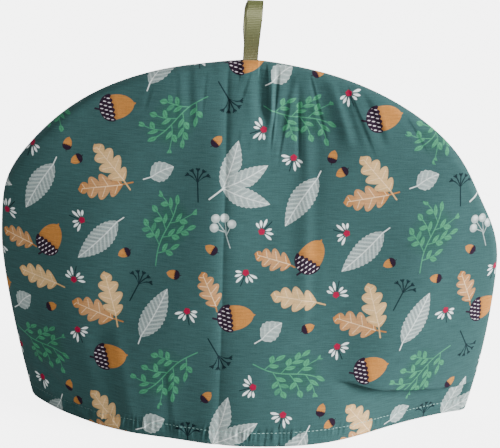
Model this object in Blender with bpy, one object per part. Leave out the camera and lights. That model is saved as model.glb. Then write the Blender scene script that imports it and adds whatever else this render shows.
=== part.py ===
# Tea cosy: two padded cloth panels sewn together along a domed seam, with a ribbon loop caught in its top.
# It stands open on its hem, as over a pot. Metres, +Z up, the front panel towards -Y, the seam in the plane
# between the panels, and the origin under the middle of the mouth.

import math

import bmesh
import bpy
import numpy as np

MM = 0.001

# Driving sizes of the cosy
SEAM_TOP = 241 * MM  # height of the seam above the hem
WAIST_HEIGHT = 110 * MM  # height at which the cosy is widest
CLOTH = 3 * MM  # outer cloth and its quilted backing, one thickness
SEAM_GAP = 0.15 * MM  # each panel's seam edge to the seam plane
EDGE_FULLNESS = 5 * MM  # how far the padding rounds out beside the seam
EDGE_REACH = 4 * MM  # over what distance it does so
STITCH_HEIGHT = 9 * MM  # the hem's stitching above the floor
STITCH_TROUGH = 0.9 * MM  # how far the stitching draws the cloth in
STITCH_WIDTH = 2.2 * MM
PEAK_LIFT = 1.5 * MM  # the seam is drawn up a little where the loop is sewn in
PEAK_REACH = 22 * MM
PEAK_SHARPNESS = 8  # how soon the lift dies out down the sides

# The seam's outline on either side of the middle: half widths, how square the shoulder and how curved
# the flank is, and how far the shoulder swells beyond that curve
SIDES = {
    "left": {
        "waist": 170.5 * MM,
        "hem": 151 * MM,
        "shoulder": 2.2,
        "flank": 1.4,
        "swell": 3.6 * MM,
    },
    "right": {
        "waist": 171 * MM,
        "hem": 159 * MM,
        "shoulder": 1.95,
        "flank": 2.0,
        "swell": -4.2 * MM,
    },
}
SWELL_HEIGHT = 158 * MM
SWELL_REACH = 24 * MM
SHOULDER = 108 * MM  # where the mesh's rows turn from the side seams to the top seam

# How each panel stands out from the seam
FRONT_BELLY = {"hem_depth": 68.5 * MM, "round": 2.2, "blunt": 0.85}
BACK_BELLY = {"hem_depth": 69 * MM, "round": 2.2, "blunt": 0.85}

# The front hem's right corner lies nearly flat, in an S, below a fold that hangs over it
CORNER_HEIGHT = 42 * MM
CORNER_START = 0.05  # as a share of the half width
CORNER_END = 1.03
CORNER_SKEW = 1.3  # above 1 the hem turns in late
CORNER_BLEND = 40 * MM  # from the middle line, over which the curve changes
FOLD_START = (70 * MM, 31 * MM)  # x and z of the fold's inner end
FOLD_FULL = (120 * MM, 23 * MM)  # where it is deepest
FOLD_LIP = 7.5 * MM  # how far the cloth above hangs out
FOLD_TUCK = 4 * MM  # how far the cloth below is drawn in
FOLD_STEP = 1.5 * MM
FOLD_FADE_UP = 17 * MM
FOLD_FADE_DOWN = 11 * MM
FOLD_ROWS_FADE = 75 * MM  # above the fold, over which the mesh's rows level out again

# Creases: soft troughs from a top end to a bottom end, in millimetres. A negative depth is a ridge.
CREASE_COLUMNS = ("top_x", "top_z", "bottom_x", "bottom_z", "width", "depth")
FRONT_CREASES = (
    (-24, 243, -18, -4, 3.4, 2.4),
    (2, 240, 7, 188, 5.0, 4.8),
    (9, 240, 9, 200, 3.0, -2.0),
    (22, 236, 14, 196, 3.2, 1.4),
    (28, 232, 34, 170, 4.0, 1.8),
    (48, 234, 66, 186, 4.0, -1.7),
    (70, 226, 88, 190, 4.0, 1.4),
    (-45, 238, -40, 196, 4.0, 1.4),
    (36, 190, 38, 60, 5.0, -0.7),
    (-95, 60, -80, -4, 7.0, 1.6),
    (-152, 40, -108, 6, 5.0, 2.2),
)
BACK_CREASES = (
    (14, 243, 12, -4, 3.6, 1.8),
    (-12, 240, -16, 190, 4.5, 2.6),
    (32, 236, 40, 184, 4.0, 1.6),
    (-48, 236, -60, 180, 4.0, 1.4),
    (-100, 70, -70, -4, 8.0, 1.8),
    (120, 60, 96, -4, 7.0, 1.6),
)
CREASE_LIP = 0.35  # the cloth beside a crease stands out by this share of its depth
CREASE_LIP_PLACE = 2.1  # widths from the crease's middle to that lip
CREASE_TOP_FADE = 1 / 12  # share of its length over which a crease starts
CREASE_FOOT_FADE = 1 / 3  # and over which it dies out
FOLD_CALM = 10 * MM  # folds and waves die out this near the seam

# Slow waves in the cloth between the creases
WAVE_COLUMNS = ("length", "height", "phase", "slant")
FRONT_WAVES = ((128 * MM, 1.1 * MM, 0.6, 0.25), (74 * MM, 0.6 * MM, 2.1, -0.4))
BACK_WAVES = ((140 * MM, 1.3 * MM, 2.4, -0.2), (82 * MM, 0.6 * MM, 0.4, 0.35))

# The seam isn't dead straight seen from above
SWAY = 1.6 * MM
SWAY_LENGTH = 210 * MM
SWAY_PHASE = 0.9

# Ribbon loop
LOOP_X = -4.4 * MM
LOOP_RISE = 38.4 * MM  # above the seam
LOOP_TAIL = 8 * MM  # sewn in below the seam
LOOP_BULGE = 6.5 * MM  # half the width of the drop that the ribbon makes
LOOP_CROWN = 12 * MM  # height of its rounded top
RIBBON_WIDTH = 10 * MM
RIBBON_THICK = 1 * MM
LOOP_LEAN = 1.3 * MM  # to the right, at its top
POCKET_ROOM = 0.3 * MM

# Mesh steps
PANEL_COLUMNS = 44
PANEL_ROWS = 27
# Where the steps are closer: place and width as shares of the side, and strength
COLUMN_CROWDING = ((0.0, 0.02, 1.0), (0.45, 0.04, 1.6), (0.52, 0.06, 0.8), (1.0, 0.02, 1.0))
ROW_CROWDING = ((0.03, 0.05, 1.6), (0.138, 0.03, 4.0), (1.0, 0.03, 1.6))
SEAM_STEPS = 160
LOOP_STEPS = 40
LOOP_COLUMNS = 2


def half_width(z, side):
    # distance from the middle line to the seam at height z
    up = np.clip((z - WAIST_HEIGHT) / (SEAM_TOP - WAIST_HEIGHT), 0, 1)
    down = np.clip((WAIST_HEIGHT - z) / WAIST_HEIGHT, 0, 1)
    dome = side["waist"] * (1 - up ** side["shoulder"]) ** (1 / side["shoulder"])
    return dome - (side["waist"] - side["hem"]) * down ** side["flank"] + swell(z, side)


def swell(z, side):
    return side["swell"] * np.exp(-(((z - SWELL_HEIGHT) / SWELL_REACH) ** 2))


def side_seam(side, sign):
    # the seam from the hem's corner to the top of the dome, as x and z
    z = np.linspace(0, WAIST_HEIGHT, SEAM_STEPS, endpoint=False)
    x = half_width(z, side)
    turn = np.linspace(0, math.pi / 2, 2 * SEAM_STEPS)
    power = 2 / side["shoulder"]
    x = np.concatenate([x, side["waist"] * np.cos(turn) ** power])
    z = np.concatenate(
        [z, WAIST_HEIGHT + (SEAM_TOP - WAIST_HEIGHT) * np.sin(turn) ** power]
    )
    x += np.where(z >= WAIST_HEIGHT, swell(z, side), 0)
    near_loop = np.exp(-(((sign * x - LOOP_X) / PEAK_REACH) ** 2))
    z += PEAK_LIFT * near_loop * (z / SEAM_TOP) ** PEAK_SHARPNESS
    return np.stack([sign * x, z], axis=1)


def along(line, shares):
    # the points at these shares of a line's length
    steps = np.linalg.norm(np.diff(line, axis=0), axis=1)
    length = np.concatenate([[0], np.cumsum(steps)])
    return np.stack(
        [np.interp(shares * length[-1], length, line[:, k]) for k in (0, 1)], axis=1
    )


def crowded(count, places):
    # count steps from 0 to 1, closer together near each (place, width, strength)
    fine = np.linspace(0, 1, 2001)
    density = np.ones_like(fine)
    for place, width, strength in places:
        density += strength * np.exp(-(((fine - place) / width) ** 2))
    total = np.concatenate([[0], np.cumsum((density[1:] + density[:-1]) / 2)])
    return np.interp(np.linspace(0, 1, count + 1), total / total[-1], fine)


def panel_grid(columns, rows):
    # x and z of a grid over the panel: rows by columns, hem first, left first
    left, right = side_seam(SIDES["left"], -1), side_seam(SIDES["right"], 1)
    left_cut = np.argmax((left[:, 0] > -SHOULDER) & (left[:, 1] > WAIST_HEIGHT))
    right_cut = np.argmax((right[:, 0] < SHOULDER) & (right[:, 1] > WAIST_HEIGHT))
    top = np.concatenate([left[left_cut:], right[right_cut:-1][::-1]])
    hem = np.array([left[0], right[0]])
    bottom_edge, top_edge = along(hem, columns), along(top, columns)
    left_edge = along(left[: left_cut + 1], rows)
    right_edge = along(right[: right_cut + 1], rows)
    u, v = columns[None, :, None], rows[:, None, None]
    corners = (
        (1 - u) * (1 - v) * hem[0]
        + u * (1 - v) * hem[1]
        + (1 - u) * v * top[0]
        + u * v * top[-1]
    )
    return (
        (1 - v) * bottom_edge[None]
        + v * top_edge[None]
        + (1 - u) * left_edge[:, None]
        + u * right_edge[:, None]
        - corners
    )


def fold_line(x):
    # height of the fold over the right corner
    slope = (FOLD_FULL[1] - FOLD_START[1]) / (FOLD_FULL[0] - FOLD_START[0])
    return FOLD_START[1] + slope * (x - FOLD_START[0])


def follow_fold(grid):
    # lowers the rows over the right corner, so that they run along the fold there
    x, z = grid[:, :, 0], grid[:, :, 1]
    drop = fold_line(np.maximum(x, FOLD_START[0])) - FOLD_START[1]
    reach = np.minimum(z / FOLD_START[1], 1 - (z - FOLD_START[1]) / FOLD_ROWS_FADE)
    lowered = z + drop * np.clip(reach, 0, 1)
    before = half_width(np.minimum(z, WAIST_HEIGHT), SIDES["right"])
    after = half_width(np.minimum(lowered, WAIST_HEIGHT), SIDES["right"])
    return np.stack([np.where(lowered < z, x * after / before, x), lowered], axis=2)


def seam_distance(x, z):
    # from each point to the nearest point of the seam, in the seam's plane
    seam = np.concatenate([side_seam(SIDES["left"], -1), side_seam(SIDES["right"], 1)])
    points = np.stack([x.ravel(), z.ravel()], axis=1)
    away = np.linalg.norm(points[:, None] - seam[None], axis=2)
    return away.min(axis=1).reshape(x.shape)


def smooth(t):
    t = np.clip(t, 0, 1)
    return t * t * (3 - 2 * t)


def across(x, z):
    # 0 at the middle line and 1 at the seam
    left, right = half_width(z, SIDES["left"]), half_width(z, SIDES["right"])
    return np.clip(np.abs(x) / np.maximum(np.where(x < 0, left, right), MM), 0, 1)


def belly(x, z, form, flat_corner):
    # how far the panel stands out, most at the hem and nothing at the top
    share = across(x, z)
    bow = (1 - share ** form["round"]) ** form["blunt"]
    if flat_corner:
        turn_in = np.clip((share - CORNER_START) / (CORNER_END - CORNER_START), 0, 1)
        ess = 1 - smooth(turn_in**CORNER_SKEW)
        amount = np.exp(-((z / CORNER_HEIGHT) ** 2)) * smooth(x / CORNER_BLEND)
        bow = bow + (ess - bow) * amount
    return form["hem_depth"] * np.clip(1 - z / SEAM_TOP, 0, 1) * bow


def creases(x, z, rows):
    total = np.zeros_like(x)
    for row in rows:
        fold = dict(zip(CREASE_COLUMNS, (value * MM for value in row)))
        run_x, run_z = fold["bottom_x"] - fold["top_x"], fold["bottom_z"] - fold["top_z"]
        length = math.hypot(run_x, run_z)
        dx, dz = x - fold["top_x"], z - fold["top_z"]
        share = (dx * run_x + dz * run_z) / length**2
        away = (dx * run_z - dz * run_x) / length / fold["width"]
        ends = smooth(1 + share / CREASE_TOP_FADE) * smooth((1 - share) / CREASE_FOOT_FADE)
        lips = np.exp(-((np.abs(away) - CREASE_LIP_PLACE) ** 2)) * CREASE_LIP
        total += fold["depth"] * ends * (np.exp(-(away**2)) - lips)
    return total


def overhang(x, z):
    # the fold over the right corner: the cloth steps out above it and in below it
    above = z - fold_line(x)
    size = smooth((x - FOLD_START[0]) / (FOLD_FULL[0] - FOLD_START[0]))
    step = 0.5 + 0.5 * np.tanh(above / FOLD_STEP)
    lip = FOLD_LIP * step * np.exp(-np.maximum(above, 0) / FOLD_FADE_UP)
    tuck = FOLD_TUCK * (1 - step) * np.exp(np.minimum(above, 0) / FOLD_FADE_DOWN)
    return size * (lip - tuck)


def waves(x, z, rows):
    total = np.zeros_like(x)
    for row in rows:
        wave = dict(zip(WAVE_COLUMNS, row))
        turn = 2 * math.pi * (x + wave["slant"] * z) / wave["length"] + wave["phase"]
        total += wave["height"] * np.sin(turn)
    return total


def panel_depth(x, z, form, crease_rows, wave_rows, front):
    # distance from the seam plane to the panel's outer face
    near = seam_distance(x, z)
    edge = EDGE_FULLNESS * (1 - np.exp(-near / EDGE_REACH))
    calm = 1 - np.exp(-near / FOLD_CALM)
    stitching = STITCH_TROUGH * np.exp(-(((z - STITCH_HEIGHT) / STITCH_WIDTH) ** 2))
    folds = waves(x, z, wave_rows) - creases(x, z, crease_rows) - stitching
    if front:
        folds = folds + overhang(x, z)
    return SEAM_GAP + edge + belly(x, z, form, front) + calm * folds


def sway(x, z):
    # how far the seam wanders out of its plane, the same for all that is sewn into it
    return SWAY * np.sin(2 * math.pi * x / SWAY_LENGTH + SWAY_PHASE) * (z / SEAM_TOP) ** 0.5


def normals(points):
    # unit normals of a grid of points, rows by columns
    up, right = np.gradient(points, axis=0), np.gradient(points, axis=1)
    out = np.cross(right, up)
    return out / np.linalg.norm(out, axis=2, keepdims=True)


def slab(name, outer, inner, material):
    # a closed body between two grids of points of the same size
    rows, columns = outer.shape[:2]
    mesh, body = bpy.data.meshes.new(name), bmesh.new()
    bmesh.ops.create_grid(
        body, x_segments=columns - 1, y_segments=rows - 1, size=0.5, calc_uvs=False
    )
    bmesh.ops.solidify(body, geom=body.faces[:], thickness=1.0)
    for vert in body.verts:
        column = round((vert.co.x + 0.5) * (columns - 1))
        row = round((vert.co.y + 0.5) * (rows - 1))
        layer = inner if abs(vert.co.z) > 0.5 else outer
        vert.co = layer[row, column]
    bmesh.ops.recalc_face_normals(body, faces=body.faces[:])
    body.to_mesh(mesh)
    body.free()
    mesh.shade_smooth()
    mesh.set_sharp_from_angle(angle=math.radians(50))
    mesh.materials.append(material)
    piece = bpy.data.objects.new(name, mesh)
    parts.objects.link(piece)
    return piece


def finish_material(name, color, roughness, sheen):
    material = bpy.data.materials.new(name)
    material.use_nodes = True
    shader = material.node_tree.nodes["Principled BSDF"]
    shader.inputs["Base Color"].default_value = (*color, 1)
    shader.inputs["Roughness"].default_value = roughness
    shader.inputs["Metallic"].default_value = 0.0
    shader.inputs["Sheen Weight"].default_value = sheen
    material.diffuse_color = (*color, 1)
    return material


def panel(name, form, crease_rows, wave_rows, facing, material):
    # facing is -1 for the front panel and 1 for the back one
    columns = crowded(PANEL_COLUMNS, COLUMN_CROWDING)
    rows = crowded(PANEL_ROWS, ROW_CROWDING)
    grid = panel_grid(columns, rows)
    if facing < 0:
        grid = follow_fold(grid)
    x, z = grid[:, :, 0], grid[:, :, 1]
    depth = panel_depth(x, z, form, crease_rows, wave_rows, facing < 0)
    outer = np.stack([x, facing * depth, z], axis=2)
    inner = outer + facing * CLOTH * normals(outer)
    # the wall's inner face stops at the seam plane and at the floor
    inner[:, :, 1] = facing * np.maximum(facing * inner[:, :, 1], SEAM_GAP)
    inner[0, :, 2] = 0
    for face in (outer, inner):
        face[:, :, 1] += sway(face[:, :, 0], face[:, :, 2])
    return slab(name, outer, inner, material)


def loop_path():
    # the ribbon's middle line seen from the side, as y and z: up the front leg, round and down the back leg
    leg = RIBBON_THICK / 2 + SEAM_GAP
    base, crown = SEAM_TOP + PEAK_LIFT, SEAM_TOP + PEAK_LIFT + LOOP_RISE - LOOP_CROWN
    rise = np.linspace(0, 1, LOOP_STEPS // 2)
    z = base + (crown - base) * rise
    y = leg + (LOOP_BULGE - leg) * smooth(rise)
    turn = np.linspace(0, math.pi / 2, LOOP_STEPS // 4)[1:]
    y = np.concatenate([[leg], y, LOOP_BULGE * np.cos(turn)])
    z = np.concatenate([[base - LOOP_TAIL], z, crown + LOOP_CROWN * np.sin(turn)])
    front = np.stack([-y, z], axis=1)
    back = np.stack([y[:-1], z[:-1]], axis=1)[::-1]
    return np.concatenate([front, back])


def hanging_loop(material):
    path = loop_path()
    across_ribbon = np.linspace(-0.5, 0.5, LOOP_COLUMNS + 1) * RIBBON_WIDTH
    step = np.gradient(path, axis=0)
    step /= np.linalg.norm(step, axis=1, keepdims=True)
    outward = np.stack([-step[:, 1], step[:, 0]], axis=1)
    faces = []
    for offset in (RIBBON_THICK / 2, -RIBBON_THICK / 2):
        line = path + offset * outward
        lean = LOOP_LEAN * smooth((line[:, 1] - SEAM_TOP) / LOOP_RISE)
        x = LOOP_X + across_ribbon[None, :] + lean[:, None]
        y = np.broadcast_to(line[:, :1], x.shape)
        z = np.broadcast_to(line[:, 1:], x.shape)
        faces.append(np.stack([x, y + sway(LOOP_X, SEAM_TOP), z], axis=2))
    return slab("hanging_loop", faces[0], faces[1], material)


def ribbon_pocket():
    # the slot between the two panels that the ribbon's ends are sewn into
    bpy.ops.mesh.primitive_cube_add(size=1)
    cutter = bpy.context.object
    cutter.name = "ribbon_pocket"
    thickness = 2 * (SEAM_GAP + RIBBON_THICK + POCKET_ROOM)
    depth = LOOP_TAIL + POCKET_ROOM
    cutter.scale = (RIBBON_WIDTH + 2 * POCKET_ROOM, thickness, 2 * depth)
    cutter.location = (LOOP_X, sway(LOOP_X, SEAM_TOP), SEAM_TOP + PEAK_LIFT)
    bpy.ops.object.transform_apply(location=False, rotation=False, scale=True)
    cutter.hide_render = True
    cutter.display_type = "WIRE"
    for owner in list(cutter.users_collection):
        owner.objects.unlink(cutter)
    cutters.objects.link(cutter)
    return cutter


def cut(piece, cutter):
    hole = piece.modifiers.new("ribbon pocket", "BOOLEAN")
    hole.operation = "DIFFERENCE"
    hole.object = cutter


for old in list(bpy.data.objects):
    bpy.data.objects.remove(old, do_unlink=True)
parts = bpy.data.collections.new("tea_cosy")
cutters = bpy.data.collections.new("cutters")
for collection in (parts, cutters):
    bpy.context.scene.collection.children.link(collection)

cotton = finish_material("green_cotton", (0.045, 0.13, 0.115), 0.88, 0.2)
ribbon = finish_material("olive_ribbon", (0.10, 0.11, 0.035), 0.55, 0.1)
front_panel = panel("front_panel", FRONT_BELLY, FRONT_CREASES, FRONT_WAVES, -1, cotton)
back_panel = panel("back_panel", BACK_BELLY, BACK_CREASES, BACK_WAVES, 1, cotton)
hanging_loop(ribbon)
pocket = ribbon_pocket()
cut(front_panel, pocket)
cut(back_panel, pocket)
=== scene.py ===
import math

import bpy
import numpy as np
from mathutils import Matrix, Vector, kdtree


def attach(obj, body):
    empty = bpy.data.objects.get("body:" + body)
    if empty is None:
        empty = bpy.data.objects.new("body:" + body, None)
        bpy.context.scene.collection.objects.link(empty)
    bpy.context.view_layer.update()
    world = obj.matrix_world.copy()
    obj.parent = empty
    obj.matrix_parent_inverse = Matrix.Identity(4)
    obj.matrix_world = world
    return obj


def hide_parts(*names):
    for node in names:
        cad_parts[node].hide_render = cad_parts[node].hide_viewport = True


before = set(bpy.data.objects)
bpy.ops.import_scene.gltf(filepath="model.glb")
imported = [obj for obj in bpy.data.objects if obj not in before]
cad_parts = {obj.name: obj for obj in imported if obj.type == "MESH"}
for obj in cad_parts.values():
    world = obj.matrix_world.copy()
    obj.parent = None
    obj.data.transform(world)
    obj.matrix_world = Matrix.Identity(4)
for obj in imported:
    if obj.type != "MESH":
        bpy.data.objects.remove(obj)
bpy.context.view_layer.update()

# Looks of a padded tea cosy: two printed cotton panels sewn along a domed seam, their stitched hems, and a
# ribbon loop in the top. The shapes follow the solids of the frame, made finer.

mm = 0.001

# What the two panels share. The outline's sides are measured from the middle line.
cosy = {
    "seamTop": 241 * mm,
    "waistHeight": 110 * mm,
    "left": {"waist": 170.5 * mm, "hem": 151 * mm, "shoulder": 2.2, "flank": 1.4, "swell": 3.6 * mm},
    "right": {"waist": 171 * mm, "hem": 159 * mm, "shoulder": 1.95, "flank": 2.0, "swell": -4.2 * mm},
    "swellHeight": 158 * mm,  # where the shoulders stand out from, or fall short of, an even curve
    "swellReach": 24 * mm,
    "cornerOfRows": 108 * mm,  # where the rows turn from the side seams to the top seam
    "cloth": 3 * mm,
    "seamGap": 0.15 * mm,
    "edgeFullness": 5 * mm,  # the padding rounds out beside the seam by this
    "edgeReach": 5.5 * mm,
    "round": 2.2,
    "blunt": 0.85,
    "sway": (1.6 * mm, 210 * mm, 0.9),  # height, length and phase of the seam's wander
    "peakLift": 1.5 * mm,  # the seam is drawn up where the loop is sewn in
    "peakReach": 22 * mm,
    "peakSharpness": 8,
    "calm": 10 * mm,  # folds die out this near the seam
    "edgeBlend": (3 * mm, 6 * mm),  # the cloth is as thick as the rounded edge up to here, then over this
    "creaseEnds": (12, 3),  # a crease starts over a twelfth of its length and dies out over a third
    "creaseLip": 2.1,  # how many widths from its middle the cloth beside a crease stands highest
    "mainCrease": (0.35, 1.5),  # height of that lip and how much steeper one flank is
    "fineCrease": (0.3, 2.6),
    "insideFollows": (0.8, 0.6),  # how much the inside follows the overhang and the main creases
    "columns": 460,
    "rows": 92,
    "columnCrowding": ((0.0, 0.012, 2.2), (0.45, 0.03, 0.8), (0.52, 0.05, 0.7), (1.0, 0.012, 2.2)),
    "rowCrowding": ((0.03, 0.05, 1.6), (0.18, 0.03, 4.0), (1.0, 0.025, 5.0)),
    "seamSteps": 1600,
    "rimSteps": 7,
}

hem = {
    "stitchHeight": 9 * mm,
    "stitchTrough": 1.0 * mm,
    "stitchWidth": 1.7 * mm,
    "puckerPitch": 2.8 * mm,
    "puckerDepth": 1.0 * mm,
    "puckerHeight": 7.6 * mm,  # where the puckers are deepest
    "puckerSpread": 3.0 * mm,
    "puckerSlant": 0.25,
    "puckerShares": (0.5, 1.1),  # of an even ripple, and of a random one on top
    "randomPitch": 1.8 * mm,
    "puckerStrength": (0.35, 0.6, 0.08),  # as a rule, how much it changes, and the least
    "mostPuckered": (-88 * mm, 42 * mm, 0.95),  # where, how far to each side and by how much more
    "turnUp": 13 * mm,  # the printed cloth turned up inside
}

# The fold that hangs over the front's right corner
cornerFold = {
    "start": (70 * mm, 39.2 * mm),
    "full": (120 * mm, 31 * mm),
    "grow": (56 * mm, 98 * mm),  # the fold starts at the first x and is full at the second
    "lip": 7.5 * mm,
    "tuck": 5.5 * mm,
    "step": 0.9 * mm,
    "fadeUp": 17 * mm,
    "fadeDown": 9 * mm,
    "rowsFade": 75 * mm,
    "sag": 4.6 * mm,  # the roll above hangs down over the fold
    "sagFade": 5 * mm,
    "rise": 1.6 * mm,
    "riseFade": 4 * mm,
    "cornerHeight": 42 * mm,
    "turnIn": (0.05, 1.03, 1.3),  # start, end and skew of the hem's turn
    "blend": 40 * mm,
}

# Folds and creases run from a top end to a bottom end. A negative depth is a ridge. Sizes in millimetres.
creaseColumns = ("topX", "topZ", "bottomX", "bottomZ", "width", "depth")

frontPanel = {
    "piece": "frontCloth",
    "node": "front_panel",
    "facing": -1,
    "hemDepth": 68.5 * mm,
    "waves": ((128 * mm, 1.1 * mm, 0.6, 0.25), (74 * mm, 0.6 * mm, 2.1, -0.4)),
    "creases": (
        (1, 243, 7, 202, 3.8, 2.0),
        (10, 240, 12, 196, 2.2, -1.3),
        (23, 232, 15, 188, 2.6, 0.8),
        (28, 226, 32, 168, 3.0, 0.6),
        (48, 234, 66, 186, 4.0, -1.2),
        (70, 226, 88, 190, 3.2, 1.0),
        (-45, 238, -40, 196, 3.0, 0.8),
        (36, 190, 38, 60, 5.0, -0.7),
        (-95, 60, -80, -4, 7.0, 1.6),
        (-152, 40, -108, 6, 5.0, 2.2),
    ),
    "fineFolds": (
        (6, 243, 8, 212, 1.5, 0.9),
        (-2, 242, -10, 214, 1.7, 0.35),
        (15, 238, 11, 184, 1.5, 0.8),
        (22, 214, 16, 176, 1.4, 0.45),
        (29, 216, 31, 176, 1.4, 0.7),
        (36, 232, 50, 188, 1.6, 0.6),
        (60, 228, 82, 182, 1.8, 0.5),
        (-12, 196, 6, 186, 1.6, 0.4),
        (-32, 240, -34, 205, 1.6, 0.3),
        (-52, 238, -50, 200, 1.8, 0.35),
        (-66, 234, -72, 206, 2.0, 0.4),
        (96, 216, 116, 186, 2.2, 0.5),
        (24, 12, 25, -6, 1.3, 0.4),
        (16, 11, 14, -6, 1.5, 0.3),
        (-52, 44, -46, -4, 4.5, 0.4),
    ),
    # pressed fold: top x, bottom x, the widths of its left and right flanks, its depth, its kink and how
    # far that reaches
    "pressed": (-18.5, -15.1, 4.2, 2.0, 2.2, 3.4, 24),
    "printShift": (11, 34),
    "seed": 5,
}

backPanel = {
    "piece": "backCloth",
    "node": "back_panel",
    "facing": 1,
    "hemDepth": 69 * mm,
    "waves": ((140 * mm, 1.3 * mm, 2.4, -0.2), (82 * mm, 0.6 * mm, 0.4, 0.35)),
    "creases": (
        (-12, 240, -16, 190, 4.0, 2.8),
        (32, 236, 40, 184, 3.6, 1.8),
        (-48, 236, -60, 180, 3.6, 1.6),
        (-100, 70, -70, -4, 8.0, 1.8),
        (120, 60, 96, -4, 7.0, 1.6),
    ),
    "fineFolds": (
        (2, 242, 6, 210, 1.6, 0.8),
        (-20, 241, -28, 208, 1.6, 0.7),
        (48, 236, 62, 196, 1.8, 0.6),
        (-70, 232, -84, 196, 2.0, 0.5),
        (60, 50, 58, -4, 2.6, 0.6),
        (-30, 46, -34, -4, 3.0, 0.6),
    ),
    "pressed": (14, 12, 2.6, 1.8, 1.2, 1.6, 16),
    "printShift": (92, 101),
    "seed": 9,
}

ribbon = {
    "x": -4.4 * mm,
    "rise": 38.4 * mm,
    "tail": 8 * mm,
    "bulge": 6.5 * mm,
    "crown": 12 * mm,  # height of the loop's rounded top
    "width": 10 * mm,
    "thick": 1 * mm,
    "lean": 1.7 * mm,
    "twist": 1.7 * mm,  # the back leg stands this much further left
    "spread": 0.07,  # drawn together at its sewn ends, the ribbon is this much wider at the top
    "ribPitch": 1.1 * mm,
    "ribWide": 1.06 * mm,
    "ribHigh": 0.3 * mm,
    "ribShows": 0.06 * mm,  # how much of a rib stands out of the ribbon's face
    "core": 0.7 * mm,  # thickness between the ribs
    "selvedge": 0.75 * mm,
    "pocketRoom": 0.25 * mm,
    "steps": 180,
    "columns": 16,
    "twistFrom": 0.3,  # share of the bulge from which the twist starts
    "section": (0.465, 0.49, 0.5),  # shares of the width where the edge starts to round, turns and ends
    "sectionThick": (1, 0.92, 0.5),  # thickness there
    "waver": (0.008, 0.9),  # how uneven the width is, and how fast it changes
    "pocketSide": 1.4 * mm,  # the pocket for the sewn ends reaches this far beside them
    "pocketBelow": 2.5 * mm,
    "pocketFade": 2 * mm,
}

# Gathers along the seam
seamGather = {"height": 0.28 * mm, "fade": 6 * mm, "pitch": 4.2, "seamRadius": 150}

# The narrow trough of the fold from packing, in millimetres
packing = {"stray": 0.5, "strayPitch": 30 * mm, "cusp": 0.35, "kinkCusp": 0.8, "footWidening": 3}


def smooth(t):
    t = np.clip(t, 0, 1)
    return t * t * (3 - 2 * t)


def wander(t, seed):
    # a smooth random line between -1 and 1
    table = np.random.default_rng(seed).uniform(-1, 1, 512)
    cell = np.floor(t).astype(int)
    share = smooth(t - cell)
    return table[cell % 512] * (1 - share) + table[(cell + 1) % 512] * share


def halfWidth(z, side):
    top, waist = cosy["seamTop"], cosy["waistHeight"]
    up = np.clip((z - waist) / (top - waist), 0, 1)
    down = np.clip((waist - z) / waist, 0, 1)
    dome = side["waist"] * (1 - up ** side["shoulder"]) ** (1 / side["shoulder"])
    return dome - (side["waist"] - side["hem"]) * down ** side["flank"] + swell(z, side)


def swell(z, side):
    return side["swell"] * np.exp(-(((z - cosy["swellHeight"]) / cosy["swellReach"]) ** 2))


def sideSeam(side, sign):
    # the seam from the hem's corner to the top of the dome, as x and z
    steps, waist, top = cosy["seamSteps"], cosy["waistHeight"], cosy["seamTop"]
    z = np.linspace(0, waist, steps, endpoint=False)
    turn = np.linspace(0, math.pi / 2, 2 * steps)
    bend = 2 / side["shoulder"]
    domeZ = waist + (top - waist) * np.sin(turn) ** bend
    domeX = side["waist"] * np.cos(turn) ** bend + swell(domeZ, side)
    x, z = np.concatenate([halfWidth(z, side), domeX]), np.concatenate([z, domeZ])
    nearLoop = np.exp(-(((sign * x - ribbon["x"]) / cosy["peakReach"]) ** 2))
    z += cosy["peakLift"] * nearLoop * (z / top) ** cosy["peakSharpness"]
    return np.stack([sign * x, z], axis=1)


leftSeam = sideSeam(cosy["left"], -1)
rightSeam = sideSeam(cosy["right"], 1)


def runOf(line):
    # how far along a line each of its points lies
    return np.concatenate([[0], np.cumsum(np.linalg.norm(np.diff(line, axis=0), axis=1))])


def lineAt(line, values, places):
    # the values that go with a line's points, read at these distances along it
    run = runOf(line)
    return np.stack([np.interp(places, run, column) for column in values.T], axis=1)


def along(line, shares):
    # the points at these shares of a line's length
    return lineAt(line, line, shares * runOf(line)[-1])


def crowded(count, places):
    # count steps from 0 to 1, closer together near each (place, width, strength)
    fineSteps = np.linspace(0, 1, 4001)
    density = np.ones_like(fineSteps)
    for place, width, strength in places:
        density += strength * np.exp(-(((fineSteps - place) / width) ** 2))
    total = np.concatenate([[0], np.cumsum((density[1:] + density[:-1]) / 2)])
    return np.interp(np.linspace(0, 1, count + 1), total / total[-1], fineSteps)


def panelGrid(columns, rows):
    # x and z of a grid over the panel: rows by columns, hem first, left first
    corner, waist = cosy["cornerOfRows"], cosy["waistHeight"]
    leftCut = np.argmax((leftSeam[:, 0] > -corner) & (leftSeam[:, 1] > waist))
    rightCut = np.argmax((rightSeam[:, 0] < corner) & (rightSeam[:, 1] > waist))
    top = np.concatenate([leftSeam[leftCut:], rightSeam[rightCut:-1][::-1]])
    bottom = np.array([leftSeam[0], rightSeam[0]])
    bottomEdge, topEdge = along(bottom, columns), along(top, columns)
    leftEdge = along(leftSeam[: leftCut + 1], rows)
    rightEdge = along(rightSeam[: rightCut + 1], rows)
    u, v = columns[None, :, None], rows[:, None, None]
    corners = (1 - u) * (1 - v) * bottom[0] + u * (1 - v) * bottom[1]
    corners = corners + (1 - u) * v * top[0] + u * v * top[-1]
    between = (1 - v) * bottomEdge[None] + v * topEdge[None]
    return between + (1 - u) * leftEdge[:, None] + u * rightEdge[:, None] - corners


def foldLine(x):
    # height of the fold over the right corner
    (startX, startZ), (fullX, fullZ) = cornerFold["start"], cornerFold["full"]
    return startZ + (fullZ - startZ) / (fullX - startX) * (x - startX)


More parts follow.
